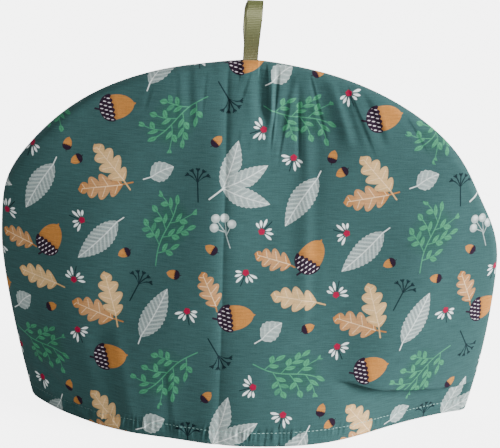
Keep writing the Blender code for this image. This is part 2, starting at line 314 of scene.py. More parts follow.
def followFold(grid):
    # lowers the rows over the right corner, so that they run along the fold there
    x, z = grid[:, :, 0], grid[:, :, 1]
    startX, startZ = cornerFold["start"]
    drop = foldLine(np.maximum(x, startX)) - startZ
    reach = np.minimum(z / startZ, 1 - (z - startZ) / cornerFold["rowsFade"])
    lowered = z + drop * np.clip(reach, 0, 1)
    before = halfWidth(np.minimum(z, cosy["waistHeight"]), cosy["right"])
    after = halfWidth(np.minimum(lowered, cosy["waistHeight"]), cosy["right"])
    return np.stack([np.where(lowered < z, x * after / before, x), lowered], axis=2)


def nearestSeam(x, z):
    # from each point of a grid to the seam: how far, and which way is straight out across the seam
    seam = np.concatenate([leftSeam, rightSeam[-2::-1]])
    run = np.gradient(seam, axis=0)
    out = np.stack([-run[:, 1], run[:, 0]], axis=1)
    out /= np.linalg.norm(out, axis=1, keepdims=True)
    tree = kdtree.KDTree(len(seam))
    for index, (seamX, seamZ) in enumerate(seam):
        tree.insert((seamX, 0, seamZ), index)
    tree.balance()
    nearest = [tree.find((px, 0, pz))[1] for px, pz in zip(x.ravel(), z.ravel())]
    nearest = np.array(nearest).reshape(x.shape)
    way = out[nearest]
    near = np.maximum(((seam[nearest] - np.stack([x, z], axis=-1)) * way).sum(axis=-1), 0)
    near[:, 0] = near[:, -1] = near[-1] = 0
    return near, way


def belly(x, z, panel):
    # how far the panel stands out, most at the hem and nothing at the top
    left, right = halfWidth(z, cosy["left"]), halfWidth(z, cosy["right"])
    share = np.clip(np.abs(x) / np.maximum(np.where(x < 0, left, right), mm), 0, 1)
    bow = (1 - share ** cosy["round"]) ** cosy["blunt"]
    if panel["facing"] < 0:
        start, end, skew = cornerFold["turnIn"]
        turnIn = np.clip((share - start) / (end - start), 0, 1)
        ess = 1 - smooth(turnIn**skew)
        amount = np.exp(-((z / cornerFold["cornerHeight"]) ** 2)) * smooth(x / cornerFold["blend"])
        bow = bow + (ess - bow) * amount
    return panel["hemDepth"] * np.clip(1 - z / cosy["seamTop"], 0, 1) * bow


def creaseDepth(x, z, rows, lip, crisp):
    # one flank of each crease is steeper than the other, crisp times as steep
    total = np.zeros_like(x)
    start, end = cosy["creaseEnds"]
    for row in rows:
        fold = dict(zip(creaseColumns, (value * mm for value in row)))
        runX, runZ = fold["bottomX"] - fold["topX"], fold["bottomZ"] - fold["topZ"]
        length = math.hypot(runX, runZ)
        dx, dz = x - fold["topX"], z - fold["topZ"]
        share = (dx * runX + dz * runZ) / length**2
        away = (dx * runZ - dz * runX) / length / fold["width"]
        away = np.where(away < 0, away * crisp, away)
        ends = smooth(1 + share * start) * smooth((1 - share) * end)
        lips = np.exp(-((np.abs(away) - cosy["creaseLip"]) ** 2)) * lip
        total += fold["depth"] * ends * (np.exp(-(away**2)) - lips)
    return total


def pressedFold(x, z, panel):
    # a sharp fold from packing: a narrow trough on top of a blunt kink in the cloth, its right flank
    # gentler towards the hem
    topX, bottomX, leftWidth, rightWidth, depth, kink, kinkReach = panel["pressed"]
    line = bottomX + (topX - bottomX) * z / cosy["seamTop"]
    away = x / mm - line - packing["stray"] * wander(z / packing["strayPitch"], panel["seed"] + 40)
    wider = packing["footWidening"]
    width = np.where(away < 0, leftWidth, rightWidth * (1 + wider - wider * z / cosy["seamTop"]))
    cusp = packing["cusp"]
    trough = depth * np.exp((cusp - np.sqrt(away**2 + cusp**2)) / width)
    ridge = kink * np.exp(-np.sqrt(away**2 + packing["kinkCusp"] ** 2) / kinkReach)
    return (trough - ridge) * mm


def overhang(x, z):
    # the fold over the right corner: out above it, in below it, and sagging over it
    above = z - foldLine(x)
    startX, fullX = cornerFold["grow"]
    size = smooth((x - startX) / (fullX - startX))
    step = 0.5 + 0.5 * np.tanh(above / cornerFold["step"])
    lip = cornerFold["lip"] * step * np.exp(-np.maximum(above, 0) / cornerFold["fadeUp"])
    tuck = cornerFold["tuck"] * (1 - step) * np.exp(np.minimum(above, 0) / cornerFold["fadeDown"])
    sag = cornerFold["sag"] * step * np.exp(-np.maximum(above, 0) / cornerFold["sagFade"])
    rise = cornerFold["rise"] * (1 - step) * np.exp(np.minimum(above, 0) / cornerFold["riseFade"])
    return size * (lip - tuck), size * (rise - sag)


def waves(x, z, rows):
    total = np.zeros_like(x)
    for length, height, phase, slant in rows:
        total += height * np.sin(2 * math.pi * (x + slant * z) / length + phase)
    return total


def wrinkles(x, z, seed):
    # faint uneven ripples in the cloth, each set with its own direction and length
    total = np.zeros_like(x)
    for index, (length, height, turn) in enumerate(
        ((46, 0.5, 0.2), (30, 0.32, -0.9), (21, 0.24, 1.2), (13, 0.12, 0.5), (9, 0.07, -0.3))
    ):
        across = (x * math.cos(turn) + z * math.sin(turn)) / (length * mm)
        down = (z * math.cos(turn) - x * math.sin(turn)) / (2.6 * length * mm)
        total += height * mm * wander(across, seed + index) * (0.4 + 0.6 * wander(down, seed + 20 + index))
    return total


def hemPuckers(x, z, seed):
    # short upright gathers that the hem's stitching draws up, strongest left of the middle
    slanted = x + hem["puckerSlant"] * (z - hem["stitchHeight"]) * wander(x / (6 * mm), seed + 2)
    ripple = np.sin(2 * math.pi * slanted / hem["puckerPitch"] + 2.4 * wander(x / (8 * mm), seed))
    even, random = hem["puckerShares"]
    ripple = even * ripple + random * wander(slanted / hem["randomPitch"], seed + 3)
    usual, change, least = hem["puckerStrength"]
    strength = np.maximum(usual + change * wander(x / (7 * mm), seed + 1), least)
    mostX, mostReach, more = hem["mostPuckered"]
    strength = strength + more * np.exp(-(((x - mostX) / mostReach) ** 2))
    reach = np.exp(-(((z - hem["puckerHeight"]) / hem["puckerSpread"]) ** 2))
    return hem["puckerDepth"] * strength * reach * ripple


def seamPuckers(near, x, z, seed):
    # small gathers along the side and top seam
    place = np.arctan2(z - cosy["waistHeight"], x) * seamGather["seamRadius"]
    height = seamGather["height"] * np.exp(-near / seamGather["fade"])
    return height * wander(place / seamGather["pitch"], seed) * smooth(near / mm)


def pocket(x, z):
    # room for the ribbon's ends between the panels
    base = cosy["seamTop"] + cosy["peakLift"]
    side = smooth((ribbon["width"] / 2 + ribbon["pocketSide"] - np.abs(x - ribbon["x"])) / mm)
    low = smooth((z - (base - ribbon["tail"] - ribbon["pocketBelow"])) / ribbon["pocketFade"])
    return (ribbon["thick"] + ribbon["pocketRoom"]) * side * low


def sway(x, z):
    height, length, phase = cosy["sway"]
    return height * np.sin(2 * math.pi * x / length + phase) * (z / cosy["seamTop"]) ** 0.5


def gridNormals(points):
    up, right = np.gradient(points, axis=0), np.gradient(points, axis=1)
    out = np.cross(right, up)
    return out / np.linalg.norm(out, axis=2, keepdims=True)


def throughCloth(points, near, way, facing):
    # the way out of the cloth: from the surface itself, but beside the seam from the rounded edge
    toSeam = np.clip(1 - near / cosy["edgeReach"], 0, 1)
    steep = cosy["edgeFullness"] / cosy["edgeReach"] * toSeam / np.sqrt(np.maximum(1 - toSeam**2, 0.02))
    atEdge = np.stack([way[:, :, 0] * steep, np.full_like(steep, facing), way[:, :, 1] * steep], axis=2)
    atEdge /= np.linalg.norm(atEdge, axis=2, keepdims=True)
    own = -facing * gridNormals(points)
    own = np.where(facing * own[:, :, 1:2] > 0.1, own, atEdge)
    blendStart, blendReach = cosy["edgeBlend"]
    share = smooth((near - blendStart) / blendReach)[:, :, None]
    return atEdge * (1 - share) + own * share


def panelFaces(panel):
    # a panel's outer and inner face as grids of points, and how far the print runs on round its edge
    columns = crowded(cosy["columns"], cosy["columnCrowding"])
    grid = panelGrid(columns, crowded(cosy["rows"], cosy["rowCrowding"]))
    if panel["facing"] < 0:
        grid = followFold(grid)
    x, z = grid[:, :, 0], grid[:, :, 1]
    rim = cosy["cloth"] / 2
    z = z + rim * np.exp(-z / (6 * mm))
    near, way = nearestSeam(x, z)
    gap = cosy["seamGap"] + pocket(x, z)
    toEdge = np.clip(near / cosy["edgeReach"], 0, 1)
    edge = cosy["edgeFullness"] * np.sqrt(np.clip(1 - (1 - toEdge) ** 2, 0, 1))
    quarterTurn = (cosy["edgeFullness"] + cosy["edgeReach"]) / 2 * np.arcsin(1 - toEdge)
    roundEdge = way * (quarterTurn - cosy["edgeReach"] * (1 - toEdge))[:, :, None] / mm
    calm = 1 - np.exp(-near / cosy["calm"])
    out = belly(x, z, panel)
    soft = waves(x, z, panel["waves"])
    main = creaseDepth(x, z, panel["creases"], *cosy["mainCrease"])
    stitching = hem["stitchTrough"] * np.exp(-(((z - hem["stitchHeight"]) / hem["stitchWidth"]) ** 2))
    lift = np.zeros_like(x)
    lean = np.zeros_like(x)
    if panel["facing"] < 0:
        lean, lift = overhang(x, z)
    fine = wrinkles(x, z, panel["seed"])
    fine = fine - creaseDepth(x, z, panel["fineFolds"], *cosy["fineCrease"])
    fine = fine - pressedFold(x, z, panel) + hemPuckers(x, z, panel["seed"] + 60)
    depth = gap + edge + out + calm * (soft + lean - main - stitching + fine)
    depth = depth + seamPuckers(near, x, z, panel["seed"] + 70)
    depth = np.maximum(depth, gap)
    leanShare, mainShare = cosy["insideFollows"]
    calmDepth = gap + edge + out + calm * (soft + leanShare * lean - mainShare * main)
    facing = panel["facing"]
    outer = np.stack([x, facing * depth, z + calm * lift], axis=2)
    calmOuter = np.stack([x, facing * calmDepth, z], axis=2)
    inner = calmOuter - cosy["cloth"] * throughCloth(calmOuter, near, way, facing)
    inner[:, :, 1] = facing * np.maximum(facing * inner[:, :, 1], gap)
    inner[0, :, 2] = outer[0, :, 2] = rim
    for face in (outer, inner):
        face[:, :, 1] += sway(face[:, :, 0], face[:, :, 2])
    return outer, inner, roundEdge


def clothPlaces(x, z, panel):
    # where each point lies in the flat cloth, in millimetres from the hem's middle
    levels = np.linspace(0, cosy["seamTop"], 80)
    shares = np.linspace(-1, 1, 241)
    table = np.zeros((len(levels), len(shares)))
    for row, level in enumerate(levels):
        side = np.where(shares < 0, halfWidth(level, cosy["left"]), halfWidth(level, cosy["right"]))
        lineX = shares * side
        lineY = belly(lineX, np.full_like(lineX, level), panel)
        arc = np.concatenate([[0], np.cumsum(np.hypot(np.diff(lineX), np.diff(lineY)))])
        table[row] = arc - np.interp(0, shares, arc) - lineX  # how much longer the cloth is than its plan
    side = np.where(x < 0, halfWidth(z, cosy["left"]), halfWidth(z, cosy["right"]))
    share = np.clip(x / np.maximum(side, mm), -1, 1)
    row = np.clip(z / cosy["seamTop"], 0, 1) * (len(levels) - 1)
    column = (share + 1) / 2 * (len(shares) - 1)
    row0 = np.minimum(row.astype(int), len(levels) - 2)
    column0 = np.minimum(column.astype(int), len(shares) - 2)
    up, over = row - row0, column - column0
    low = table[row0, column0] * (1 - over) + table[row0, column0 + 1] * over
    high = table[row0 + 1, column0] * (1 - over) + table[row0 + 1, column0 + 1] * over
    slope = math.hypot(1, panel["hemDepth"] / cosy["seamTop"])
    return np.stack([(x + low * (1 - up) + high * up) / mm, z * slope / mm], axis=-1)


# The printed motifs: autumn leaves, acorns, sprigs and small flowers, all drawn by plain formulas. Sizes in
# millimetres, each motif in its own place with +Y along its stem.

motifs = {
    "leafTrio": {"count": 1, "leaf": (33, 13), "spread": 46, "stem": 11},
    "oakPair": {"count": 2, "leaf": (31, 17.5), "spread": (-23, 34), "stem": 7},
    "acornLeaf": {"count": 2, "leaf": (25, 15), "leafFoot": (7.2, -8.0), "leafTurn": 105},
    "sprig": {
        "count": 3,
        "length": 42,
        "branch": 11.2,
        "lean": 44,
        "reach": 17,
        "blade": (3.3, 1.5),  # half of a small leaf's length and width
        "bladePitch": 5.8,
    },
    "lanceLeaf": {"count": 3, "leaf": (38, 15.5), "stem": 5},
    "oakLeaf": {"count": 1, "leaf": (31, 17), "stem": 6},
    "acorn": {"count": 1, "nut": (15, 16.5), "cap": (9, 18.5)},
    "berries": {"count": 1, "berry": 2.9, "stem": 16},
    "umbel": {"count": 3, "ray": 9, "stem": 13},
    "roundLeaf": {"count": 2, "leaf": (17, 13.5), "stem": 5},
    "daisy": {"count": 8, "petal": 9.2, "heart": 2.1},
    "tinyAcorn": {"count": 7, "scale": 0.36},
}

toss = {"tile": (176, 168), "tries": 600, "seed": 10, "margin": 2.2}

# Colours of the inks and of the cloth, in steps of 255
inks = {
    "ground": (55, 87, 87),
    "wrongSide": (118, 146, 142),
    "rust": (173, 113, 57),
    "cream": (204, 164, 108),
    "vein": (246, 218, 176),
    "nut": (182, 118, 53),
    "cap": (40, 25, 42),
    "fleck": (232, 220, 230),
    "grey": (164, 180, 178),
    "greyDark": (96, 112, 114),
    "pale": (222, 230, 228),
    "leafGreen": (72, 148, 110),
    "leafShade": (52, 120, 86),
    "haze": (40, 88, 68),
    "dark": (20, 38, 44),
    "petal": (240, 248, 248),
    "heart": (152, 18, 60),
}


def ink(name):
    # a colour as the shader wants it
    values = [value / 255 for value in inks[name]]
    return tuple(v / 12.92 if v < 0.04045 else ((v + 0.055) / 1.055) ** 2.4 for v in values) + (1,)


def spine(length, start, turn, radii):
    # circles along a straight spine, from which the toss knows how much room a motif takes
    step = length / len(radii)
    spots = [start + step * (k + 0.5) for k in range(len(radii))]
    return [(math.sin(turn) * s, math.cos(turn) * s, r) for s, r in zip(spots, radii)]


# Circles that cover a motif, each as x, y and radius
plainRooms = {
    "roundLeaf": ((0, 5, 7.4), (0, 11, 7.6), (0, 16, 3.2), (0, -3.4, 2.6)),
    "sprig": (
        *((0, 3, 5), (0, 10, 12), (-7, 18, 14), (7, 18, 14)),
        *((0, 30, 15), (0, 39, 9), (0, 46, 5), (0, -4, 2.5)),
    ),
    "berries": (
        *((-5.6, 6.4, 4.2), (6, 8, 4.2), (-3, 11.6, 4.2), (2.6, 13.4, 4.2)),
        *((0, 3, 4), (0, -2, 2.6), (0, -7, 2.6)),
    ),
    "umbel": ((0, 6.4, 7.4), (-5, 7, 5.6), (5, 7, 5.6), (0, -4, 2.2), (0, -10, 2.6)),
    "daisy": ((0, 0, 3.6), (0, 5, 6.8), (-5, 3, 6), (5, 3, 6)),
}


def motifRoom(name):
    if name in plainRooms:
        return plainRooms[name]
    m = motifs[name]
    if name == "leafTrio":
        turns = [math.radians(m["spread"] * k) for k in (-1, 0, 1)]
        room = [spot for turn in turns for spot in spine(m["leaf"][0] + 1, 1, turn, (5.8, 7.5, 6.9, 4.4))]
        return room + [(1.2, -4, 3), (2.5, -9.5, 2.7)]
    if name == "oakPair":
        turns = [math.radians(angle) for angle in m["spread"]]
        room = [spot for turn in turns for spot in spine(m["leaf"][0] + 1, 3, turn, (6.8, 8.8, 9.2, 7.2))]
        return room + [(0, -2, 3), (0, -6, 2.6)]
    if name in ("lanceLeaf", "oakLeaf"):
        wide = m["leaf"][1] / 2
        radii = (wide * 0.8, wide + 1, wide + 1.2, wide + 0.4, wide * 0.7)
        return spine(m["leaf"][0], 0, 0, radii) + [(0, -4, 2.6)]
    (nutLength, nutWidth), (capHeight, capWidth) = motifs["acorn"]["nut"], motifs["acorn"]["cap"]
    nut = [(0, nutLength * 0.4, nutWidth * 0.56), (0, nutLength * 0.85, nutWidth * 0.34)]
    acorn = nut + [(0, -capHeight * 0.42, capWidth * 0.54), (1.4, -capHeight - 2.2, 2.8)]
    if name == "acornLeaf":
        footX, footY = m["leafFoot"]
        leaf = spine(m["leaf"][0], 2, math.radians(m["leafTurn"]), (6, 8, 8, 6.4))
        return acorn + [(footX + x, footY + y, r) for x, y, r in leaf]
    scale = m.get("scale", 1)
    return [(x * scale, y * scale, r * scale) for x, y, r in acorn]


def laidRoom(name, x, y, turn, flip):
    # a motif's circles where it is laid in the tile
    room = np.array(motifRoom(name))
    across, up = room[:, 0] * flip, room[:, 1]
    c, s = math.cos(turn), math.sin(turn)
    return np.stack([x + across * c - up * s, y + across * s + up * c, room[:, 2]], axis=1)


def tossMotifs():
    # lays the motifs in one repeat, each where it has the most room of many random tries
    random = np.random.default_rng(toss["seed"])
    tile = np.array(toss["tile"])
    laid, taken, tightest = [], np.zeros((0, 3)), 99
    for name, settings in motifs.items():
        for _ in range(settings["count"]):
            best = None
            for _ in range(toss["tries"]):
                x, y = random.uniform((0, 0), tile)
                turn, flip = random.uniform(0, 2 * math.pi), random.choice((-1, 1))
                room = laidRoom(name, x, y, turn, flip)
                apart = 0
                if len(taken):
                    between = room[:, None, :2] - taken[None, :, :2]
                    between -= tile * np.round(between / tile)
                    clear = np.linalg.norm(between, axis=2) - room[:, None, 2] - taken[None, :, 2]
                    apart = clear.min()
                if best is None or apart > best[0]:
                    best = (apart, room, (name, x, y, turn, flip))
            tightest = min(tightest, best[0]) if len(taken) else tightest
            taken = np.concatenate([taken, best[1]])
            laid.append(best[2])
    print("motifs in a repeat:", len(laid), "closest two, in mm:", round(float(tightest), 2))
    return laid


def printOn(middles, corners, laid):
    # for each face the motif it belongs to, or none, and its corners' places in that motif
    tile = np.array(toss["tile"])
    nearest = np.full(len(middles), toss["margin"])
    owner = np.full(len(middles), -1)
    places = corners.copy()
    names = list(motifs)
    for name, x, y, turn, flip in laid:
        room = laidRoom(name, x, y, turn, flip)
        c, s = math.cos(turn), math.sin(turn)
        for blobX, blobY, radius in room:
            away = middles - (blobX, blobY)
            away -= tile * np.round(away / tile)
            outside = np.linalg.norm(away, axis=1) - radius
            mine = outside < nearest
            nearest[mine] = outside[mine]
            owner[mine] = names.index(name)
            local = (away + (blobX - x, blobY - y))[mine][:, None] + corners[mine] - middles[mine][:, None]
            across = local[:, :, 0] * c + local[:, :, 1] * s
            up = local[:, :, 1] * c - local[:, :, 0] * s
            places[mine] = np.stack([across * flip, up], axis=2)
    return owner, places


# Drawing with shader nodes: a Field is a number that changes over the cloth, kept as a node's socket


class Field:
    def __init__(self, tree, socket):
        self.tree = tree
        self.socket = socket

    def __add__(self, other):
        return calc("ADD", self, other)

    def __sub__(self, other):
        return calc("SUBTRACT", self, other)

    def __rsub__(self, other):
        return calc("SUBTRACT", other, self)

    def __mul__(self, other):
        return calc("MULTIPLY", self, other)

    def __truediv__(self, other):
        return calc("DIVIDE", self, other)


def calc(operation, *values, clamp=False):
    tree = next(value.tree for value in values if isinstance(value, Field))
    node = tree.nodes.new("ShaderNodeMath")
    node.operation = operation
    node.use_clamp = clamp
    for slot, value in enumerate(values):
        if isinstance(value, Field):
            tree.links.new(value.socket, node.inputs[slot])
        else:
            node.inputs[slot].default_value = value
    return Field(tree, node.outputs[0])


def least(a, b):
    return calc("MINIMUM", a, b)


def most(a, b):
    return calc("MAXIMUM", a, b)


def absolute(a):
    return calc("ABSOLUTE", a)


def wave(a):
    return calc("SINE", a)


def power(a, exponent):
    return calc("POWER", most(a, 0), exponent)


def hypotenuse(x, y):
    return calc("SQRT", x * x + y * y)


def ramp(a, slope, start):
    # a straight rise, kept between 0 and 1
    return calc("MULTIPLY_ADD", a, slope, start, clamp=True)


def inside(outside, soft=0.3):
    # 1 where the number is below 0, fading over this many millimetres
    return ramp(outside, -1 / soft, 0.5)


def turned(x, y, angle):
    # the same place seen from axes turned by this angle, clockwise from +Y
    c, s = math.cos(angle), math.sin(angle)
    return x * c - y * s, x * s + y * c


def polar(x, y, step, last):
    # folds equal sectors round the origin onto the one about +Y, and says which sector it was
    angle = calc("ARCTAN2", x, y)
    sector = least(most(calc("ROUND", angle / step), -last), last)
    radius = hypotenuse(x, y)
    local = angle - sector * step
    return radius * wave(local), radius * calc("COSINE", local), sector


def strokeOutside(x, y, start, end, width):
    # how far outside a straight stroke
    dx, dy = end[0] - start[0], end[1] - start[1]
    px, py = x - start[0], y - start[1]
    share = calc("DIVIDE", px * dx + py * dy, dx * dx + dy * dy, clamp=True)
    return hypotenuse(px - share * dx, py - share * dy) - width / 2


def leafHalf(y, length, width, widest, fullness):
    # half the width of a leaf at this distance from its foot
    share = calc("DIVIDE", y, length, clamp=True)
    bow = wave(power(share, math.log(0.5) / math.log(widest)) * math.pi)
    return power(bow, fullness) * (width / 2) - 0.25


def vectorParts(tree, vector):
    split = tree.nodes.new("ShaderNodeSeparateXYZ")
    tree.links.new(vector, split.inputs[0])
    return [Field(tree, part) for part in split.outputs]


def mixed(tree, share, first, second):
    # two colours mixed, each a socket or plain values
    mix = tree.nodes.new("ShaderNodeMix")
    mix.data_type = "RGBA"
    tree.links.new(share.socket, mix.inputs["Factor"])
    for slot, color in (("A", first), ("B", second)):
        if isinstance(color, tuple):
            mix.inputs[slot].default_value = color
        else:
            tree.links.new(color, mix.inputs[slot])
    return mix.outputs["Result"]


class Drawing:
    # a node group that lays one colour of ink after another on the ground

    def __init__(self, name):
        self.tree = bpy.data.node_groups.new(name, "ShaderNodeTree")
        self.tree.interface.new_socket("Place", in_out="INPUT", socket_type="NodeSocketVector")
        self.tree.interface.new_socket("Ground", in_out="INPUT", socket_type="NodeSocketColor")
        self.tree.interface.new_socket("Color", in_out="OUTPUT", socket_type="NodeSocketColor")
        entry = self.tree.nodes.new("NodeGroupInput")
        self.color, self.place = entry.outputs["Ground"], entry.outputs["Place"]
        self.x, self.y, _ = vectorParts(self.tree, self.place)

    def lay(self, name, mask):
        self.color = mixed(self.tree, mask, self.color, ink(name))

    def blotch(self, scale):
        # uneven ink, between 0 and 1
        noise = self.tree.nodes.new("ShaderNodeTexNoise")
        self.tree.links.new(self.place, noise.inputs["Vector"])
        noise.inputs["Scale"].default_value = scale
        noise.inputs["Detail"].default_value = 2
        return Field(self.tree, noise.outputs[0])

    def done(self):
        out = self.tree.nodes.new("NodeGroupOutput")
        self.tree.links.new(self.color, out.inputs["Color"])
        return self.tree


def drawOak(drawing, x, y, leaf, body, stem, bend=1.0):
    # rounded lobes that lean forward on both sides of a midrib
    length, width = leaf
    side = calc("SIGN", x)
    lobe = (y - absolute(x) * 0.5 + side * 0.9) * (3.8 / length) + 0.2
    share = calc("DIVIDE", y, length, clamp=True)
    reach = power(wave(power(share, 0.86) * math.pi), 0.6)
    beat = power(absolute(wave(lobe * math.pi)), 0.62)
    half = reach * (beat * 0.66 + 0.34) * (width / 2) - 0.25
    shape = inside(absolute(x) - half)
    stalk = inside(strokeOutside(x, y, (0, 2), (0.8 * bend, -stem), 0.95))
    drawing.lay(body, most(shape, stalk))
    drawing.lay("vein", shape * power(reach, 1.5) * 0.2)
    drawing.lay("rust", shape * drawing.blotch(0.35) * 0.3 * inside(half - absolute(x) - 1.6, 1.4))
    ribs = inside(absolute(calc("COSINE", lobe * math.pi)) * (length / 13.5) - 0.2, 0.35)
    ribs = ribs * inside(absolute(x) - half * 0.78, 0.5)
    midrib = inside(absolute(x) - 0.24 + share * 0.1, 0.3) * inside(y * -1, 1)
    midrib = midrib * inside(y - length * 0.9)
    drawing.lay("vein", most(ribs * 0.75, midrib) * shape)


def drawVeinedLeaf(drawing, x, y, leaf, veinPitch, stripes, stem):
    # a pale leaf with slanting veins, the cloth between them shaded
    length, width = leaf
    bent = x - wave(y * (math.pi / length)) * 0.9
    half = leafHalf(y, length, width, 0.42, 0.82)
    shape = inside(absolute(bent) - half * (wave(y * 2.1) * 0.05 + 1))
    drawing.lay("pale", inside(strokeOutside(x, y, (0, 1), (0.9, -stem), 0.7)))
    drawing.lay("grey", shape)
    slanted = (y - absolute(bent) * 0.85) * (2 * math.pi / veinPitch)
    dark = ramp(wave(slanted), 0.5, 0.5) * stripes
    drawing.lay("greyDark", shape * dark * ramp(drawing.blotch(1.3), 1.4, -0.2))
    veins = inside(0.95 - wave(slanted + math.pi), 0.16) * inside(absolute(bent) - half * 0.8, 0.6)
    midrib = inside(absolute(bent) - 0.3, 0.35)
    drawing.lay("pale", shape * most(veins * 0.75, midrib))
    drawing.lay("pale", shape * inside(absolute(absolute(bent) - half) - 0.25, 0.5) * 0.35)


def drawAcorn(drawing, x, y, flecked=True):
    (nutLength, nutWidth), (capHeight, capWidth) = motifs["acorn"]["nut"], motifs["acorn"]["cap"]
    share = calc("DIVIDE", y, nutLength, clamp=True)
    half = power(1 - power(share, 2.3), 0.62) * (nutWidth / 2)
    point = least(inside(absolute(x) - (nutLength + 1.6 - y) * 0.5), inside(y - nutLength - 1.2))
    body = inside(most(absolute(x) - half, y - nutLength + 0.2)) * inside(-2 - y)
    drawing.lay("nut", most(body, point * inside(nutLength - 2 - y)))
    drawing.lay("cream", body * drawing.blotch(0.5) * 0.22)
    drawing.lay("cap", body * inside(y - 2.2, 2.6) * 0.28)
    drawing.lay("cap", inside(strokeOutside(x, y, (0, -capHeight + 1), (1.5, -capHeight - 2.6), 1.3)))
    dome = power(1 - power(calc("MULTIPLY", y, -1 / capHeight, clamp=True), 2.3), 0.5) * (capWidth / 2)
    scallop = absolute(wave(x * (math.pi / 3.3))) * 1.3 + 0.1 - x * x * 0.012
    shell = inside(most(absolute(x) - dome, most(y - scallop, -capHeight - y)))
    drawing.lay("cap", shell)
    if not flecked:
        return
    pitchX, pitchY = 2.9, 2.9
    row = calc("FLOOR", y / pitchY)
    cellX = (calc("FRACT", (x + 40) / pitchX + calc("MODULO", absolute(row), 2) * 0.5) - 0.5) * pitchX
    cellY = (calc("FRACT", y / pitchY) - 0.5) * pitchY
    spot = inside(hypotenuse((cellX + cellY * 0.3) * 2.7, cellY) - 1.0, 0.4)
    within = inside(most(absolute(x) - dome + 1.0, most(y + 0.4, -capHeight + 0.8 - y)), 0.4)
    drawing.lay("fleck", spot * within)


def drawTrio(drawing):
    m = motifs["leafTrio"]
    drawing.lay("pale", inside(strokeOutside(drawing.x, drawing.y, (0, 1), (2.4, -m["stem"]), 1.0)))
    x, y, _ = polar(drawing.x, drawing.y, math.radians(m["spread"]), 1)
    drawVeinedLeaf(drawing, x, y, m["leaf"], 4.4, 0.55, 0)


def drawOakPair(drawing):
    m = motifs["oakPair"]
    for angle, body, bend in zip(m["spread"], ("rust", "cream"), (1, -1)):
        x, y = turned(drawing.x, drawing.y, math.radians(angle))
        drawOak(drawing, x, y - 3, m["leaf"], body, m["stem"], bend)


def drawAcornLeaf(drawing):
    m = motifs["acornLeaf"]
    footX, footY = m["leafFoot"]
    x, y = turned(drawing.x - footX, drawing.y - footY, math.radians(m["leafTurn"]))
    drawOak(drawing, x, y - 1.5, m["leaf"], "rust", 3)
    drawAcorn(drawing, drawing.x, drawing.y)


def drawSprig(drawing):
    # a bent stem with forward-leaning branches on both sides, and small leaves along them
    m = motifs["sprig"]
    pitch, lean, length = m["branch"], math.radians(m["lean"]), m["length"]
    bladeLong, bladeWide = m["blade"]
    x = drawing.x + wave(drawing.y * 0.13 + 0.4) * 1.5
    y = drawing.y + wave(drawing.x * 0.31) * 0.9
    haze = hypotenuse(x / 17, (y - length * 0.55) / 21) * 17 - 12
    drawing.lay("haze", inside(haze, 9) * ramp(drawing.blotch(0.16), 1.4, -0.1) * 0.75)
    side, away = calc("SIGN", x), absolute(x)
    level = y - away * math.tan(lean) * 0.9 + side * (pitch / 4) + pitch
    cell = calc("FLOOR", level / pitch)
    up = (cell + 0.5) * pitch - pitch - side * (pitch / 4)
    off = (level - (cell + 0.5) * pitch) * math.cos(lean)
    run = away / math.cos(lean) + off * math.sin(lean) * 0.9
    room = power(wave(calc("DIVIDE", up + 5, length + 3, clamp=True) * math.pi), 0.5)
    reach = room * m["reach"] + wave(cell * 2.7 + side) * 1.6
    grows = inside(up - length * 0.86) * inside(-1.5 - up)
    twig = inside(absolute(off) - 0.25) * inside(run - reach) * grows
    trunk = inside(strokeOutside(x, y, (0, -5), (0, length * 0.92), 0.7))
    step = m["bladePitch"]
    shifted = run + calc("SIGN", off) * (step / 4) + step * 0.1
    node = calc("FLOOR", shifted / step)
    beside, onward = absolute(off) - bladeLong * 0.6, shifted - (node + 0.5) * step
    across, forward = turned(beside, onward, math.radians(38))
    grown = inside(node * step + step * 0.9 - reach) * inside(0.2 - node) * grows
    blades, veins = 0, 0
    for sideways, ahead, there in (
        (across, forward, grown),
        (off, run - reach - bladeLong * 0.8, grows),
        (x, y - length * 0.92 - bladeLong * 0.8, 1),
    ):
        almond = absolute(sideways) - (bladeWide - ahead * ahead * (bladeWide / bladeLong**2))
        blade = inside(almond, 0.35) * there
        blades = most(blade, blades)
        veins = most(blade * inside(absolute(sideways) - 0.12, 0.25), veins)
    drawing.lay("leafGreen", most(most(twig, trunk) * 0.85, blades))
    drawing.lay("leafShade", blades * ramp(drawing.blotch(0.8), 2.4, -0.8) * 0.6)
    drawing.lay("haze", veins * 0.7)


def drawUmbel(drawing):
    m = motifs["umbel"]
    stem = inside(strokeOutside(drawing.x, drawing.y, (0, 1), (0.9, -m["stem"]), 0.85))
    x, y, sector = polar(drawing.x, drawing.y, math.radians(29), 2)
    bent = x + wave(y * (math.pi / m["ray"])) * sector * 0.45
    past = y - m["ray"]
    ray = inside(absolute(bent) - 0.42) * inside(past) * inside(-0.5 - y)
    head = inside(absolute(bent) - (past + 2.8) * 0.58)
    head = head * inside(past - 0.7 + absolute(wave(x * 2.9)) * 0.8)
    drawing.lay("dark", most(stem, most(ray, head)))


def drawBerries(drawing):
    m = motifs["berries"]
    side, away = calc("SIGN", drawing.x), absolute(drawing.x)
    y = drawing.y - side * 0.9
    stems = inside(strokeOutside(drawing.x, drawing.y, (0, 4), (0.6, 4 - m["stem"] * 0.75), 0.6))
    for spot in ((5.8, 7.2), (2.8, 12.5)):
        stems = most(stems, inside(strokeOutside(away, y, (0, 1.5), spot, 0.5)))
    drawing.lay("grey", stems)
    for spotX, spotY in ((5.8, 7.2), (2.8, 12.5)):
        ring = hypotenuse(away - spotX, y - spotY)
        drawing.lay("grey", inside(ring - m["berry"]))
        glint = hypotenuse(away - spotX + 0.5, y - spotY - 0.6)
        drawing.lay("pale", inside(glint - m["berry"] * 0.55, 1.6))


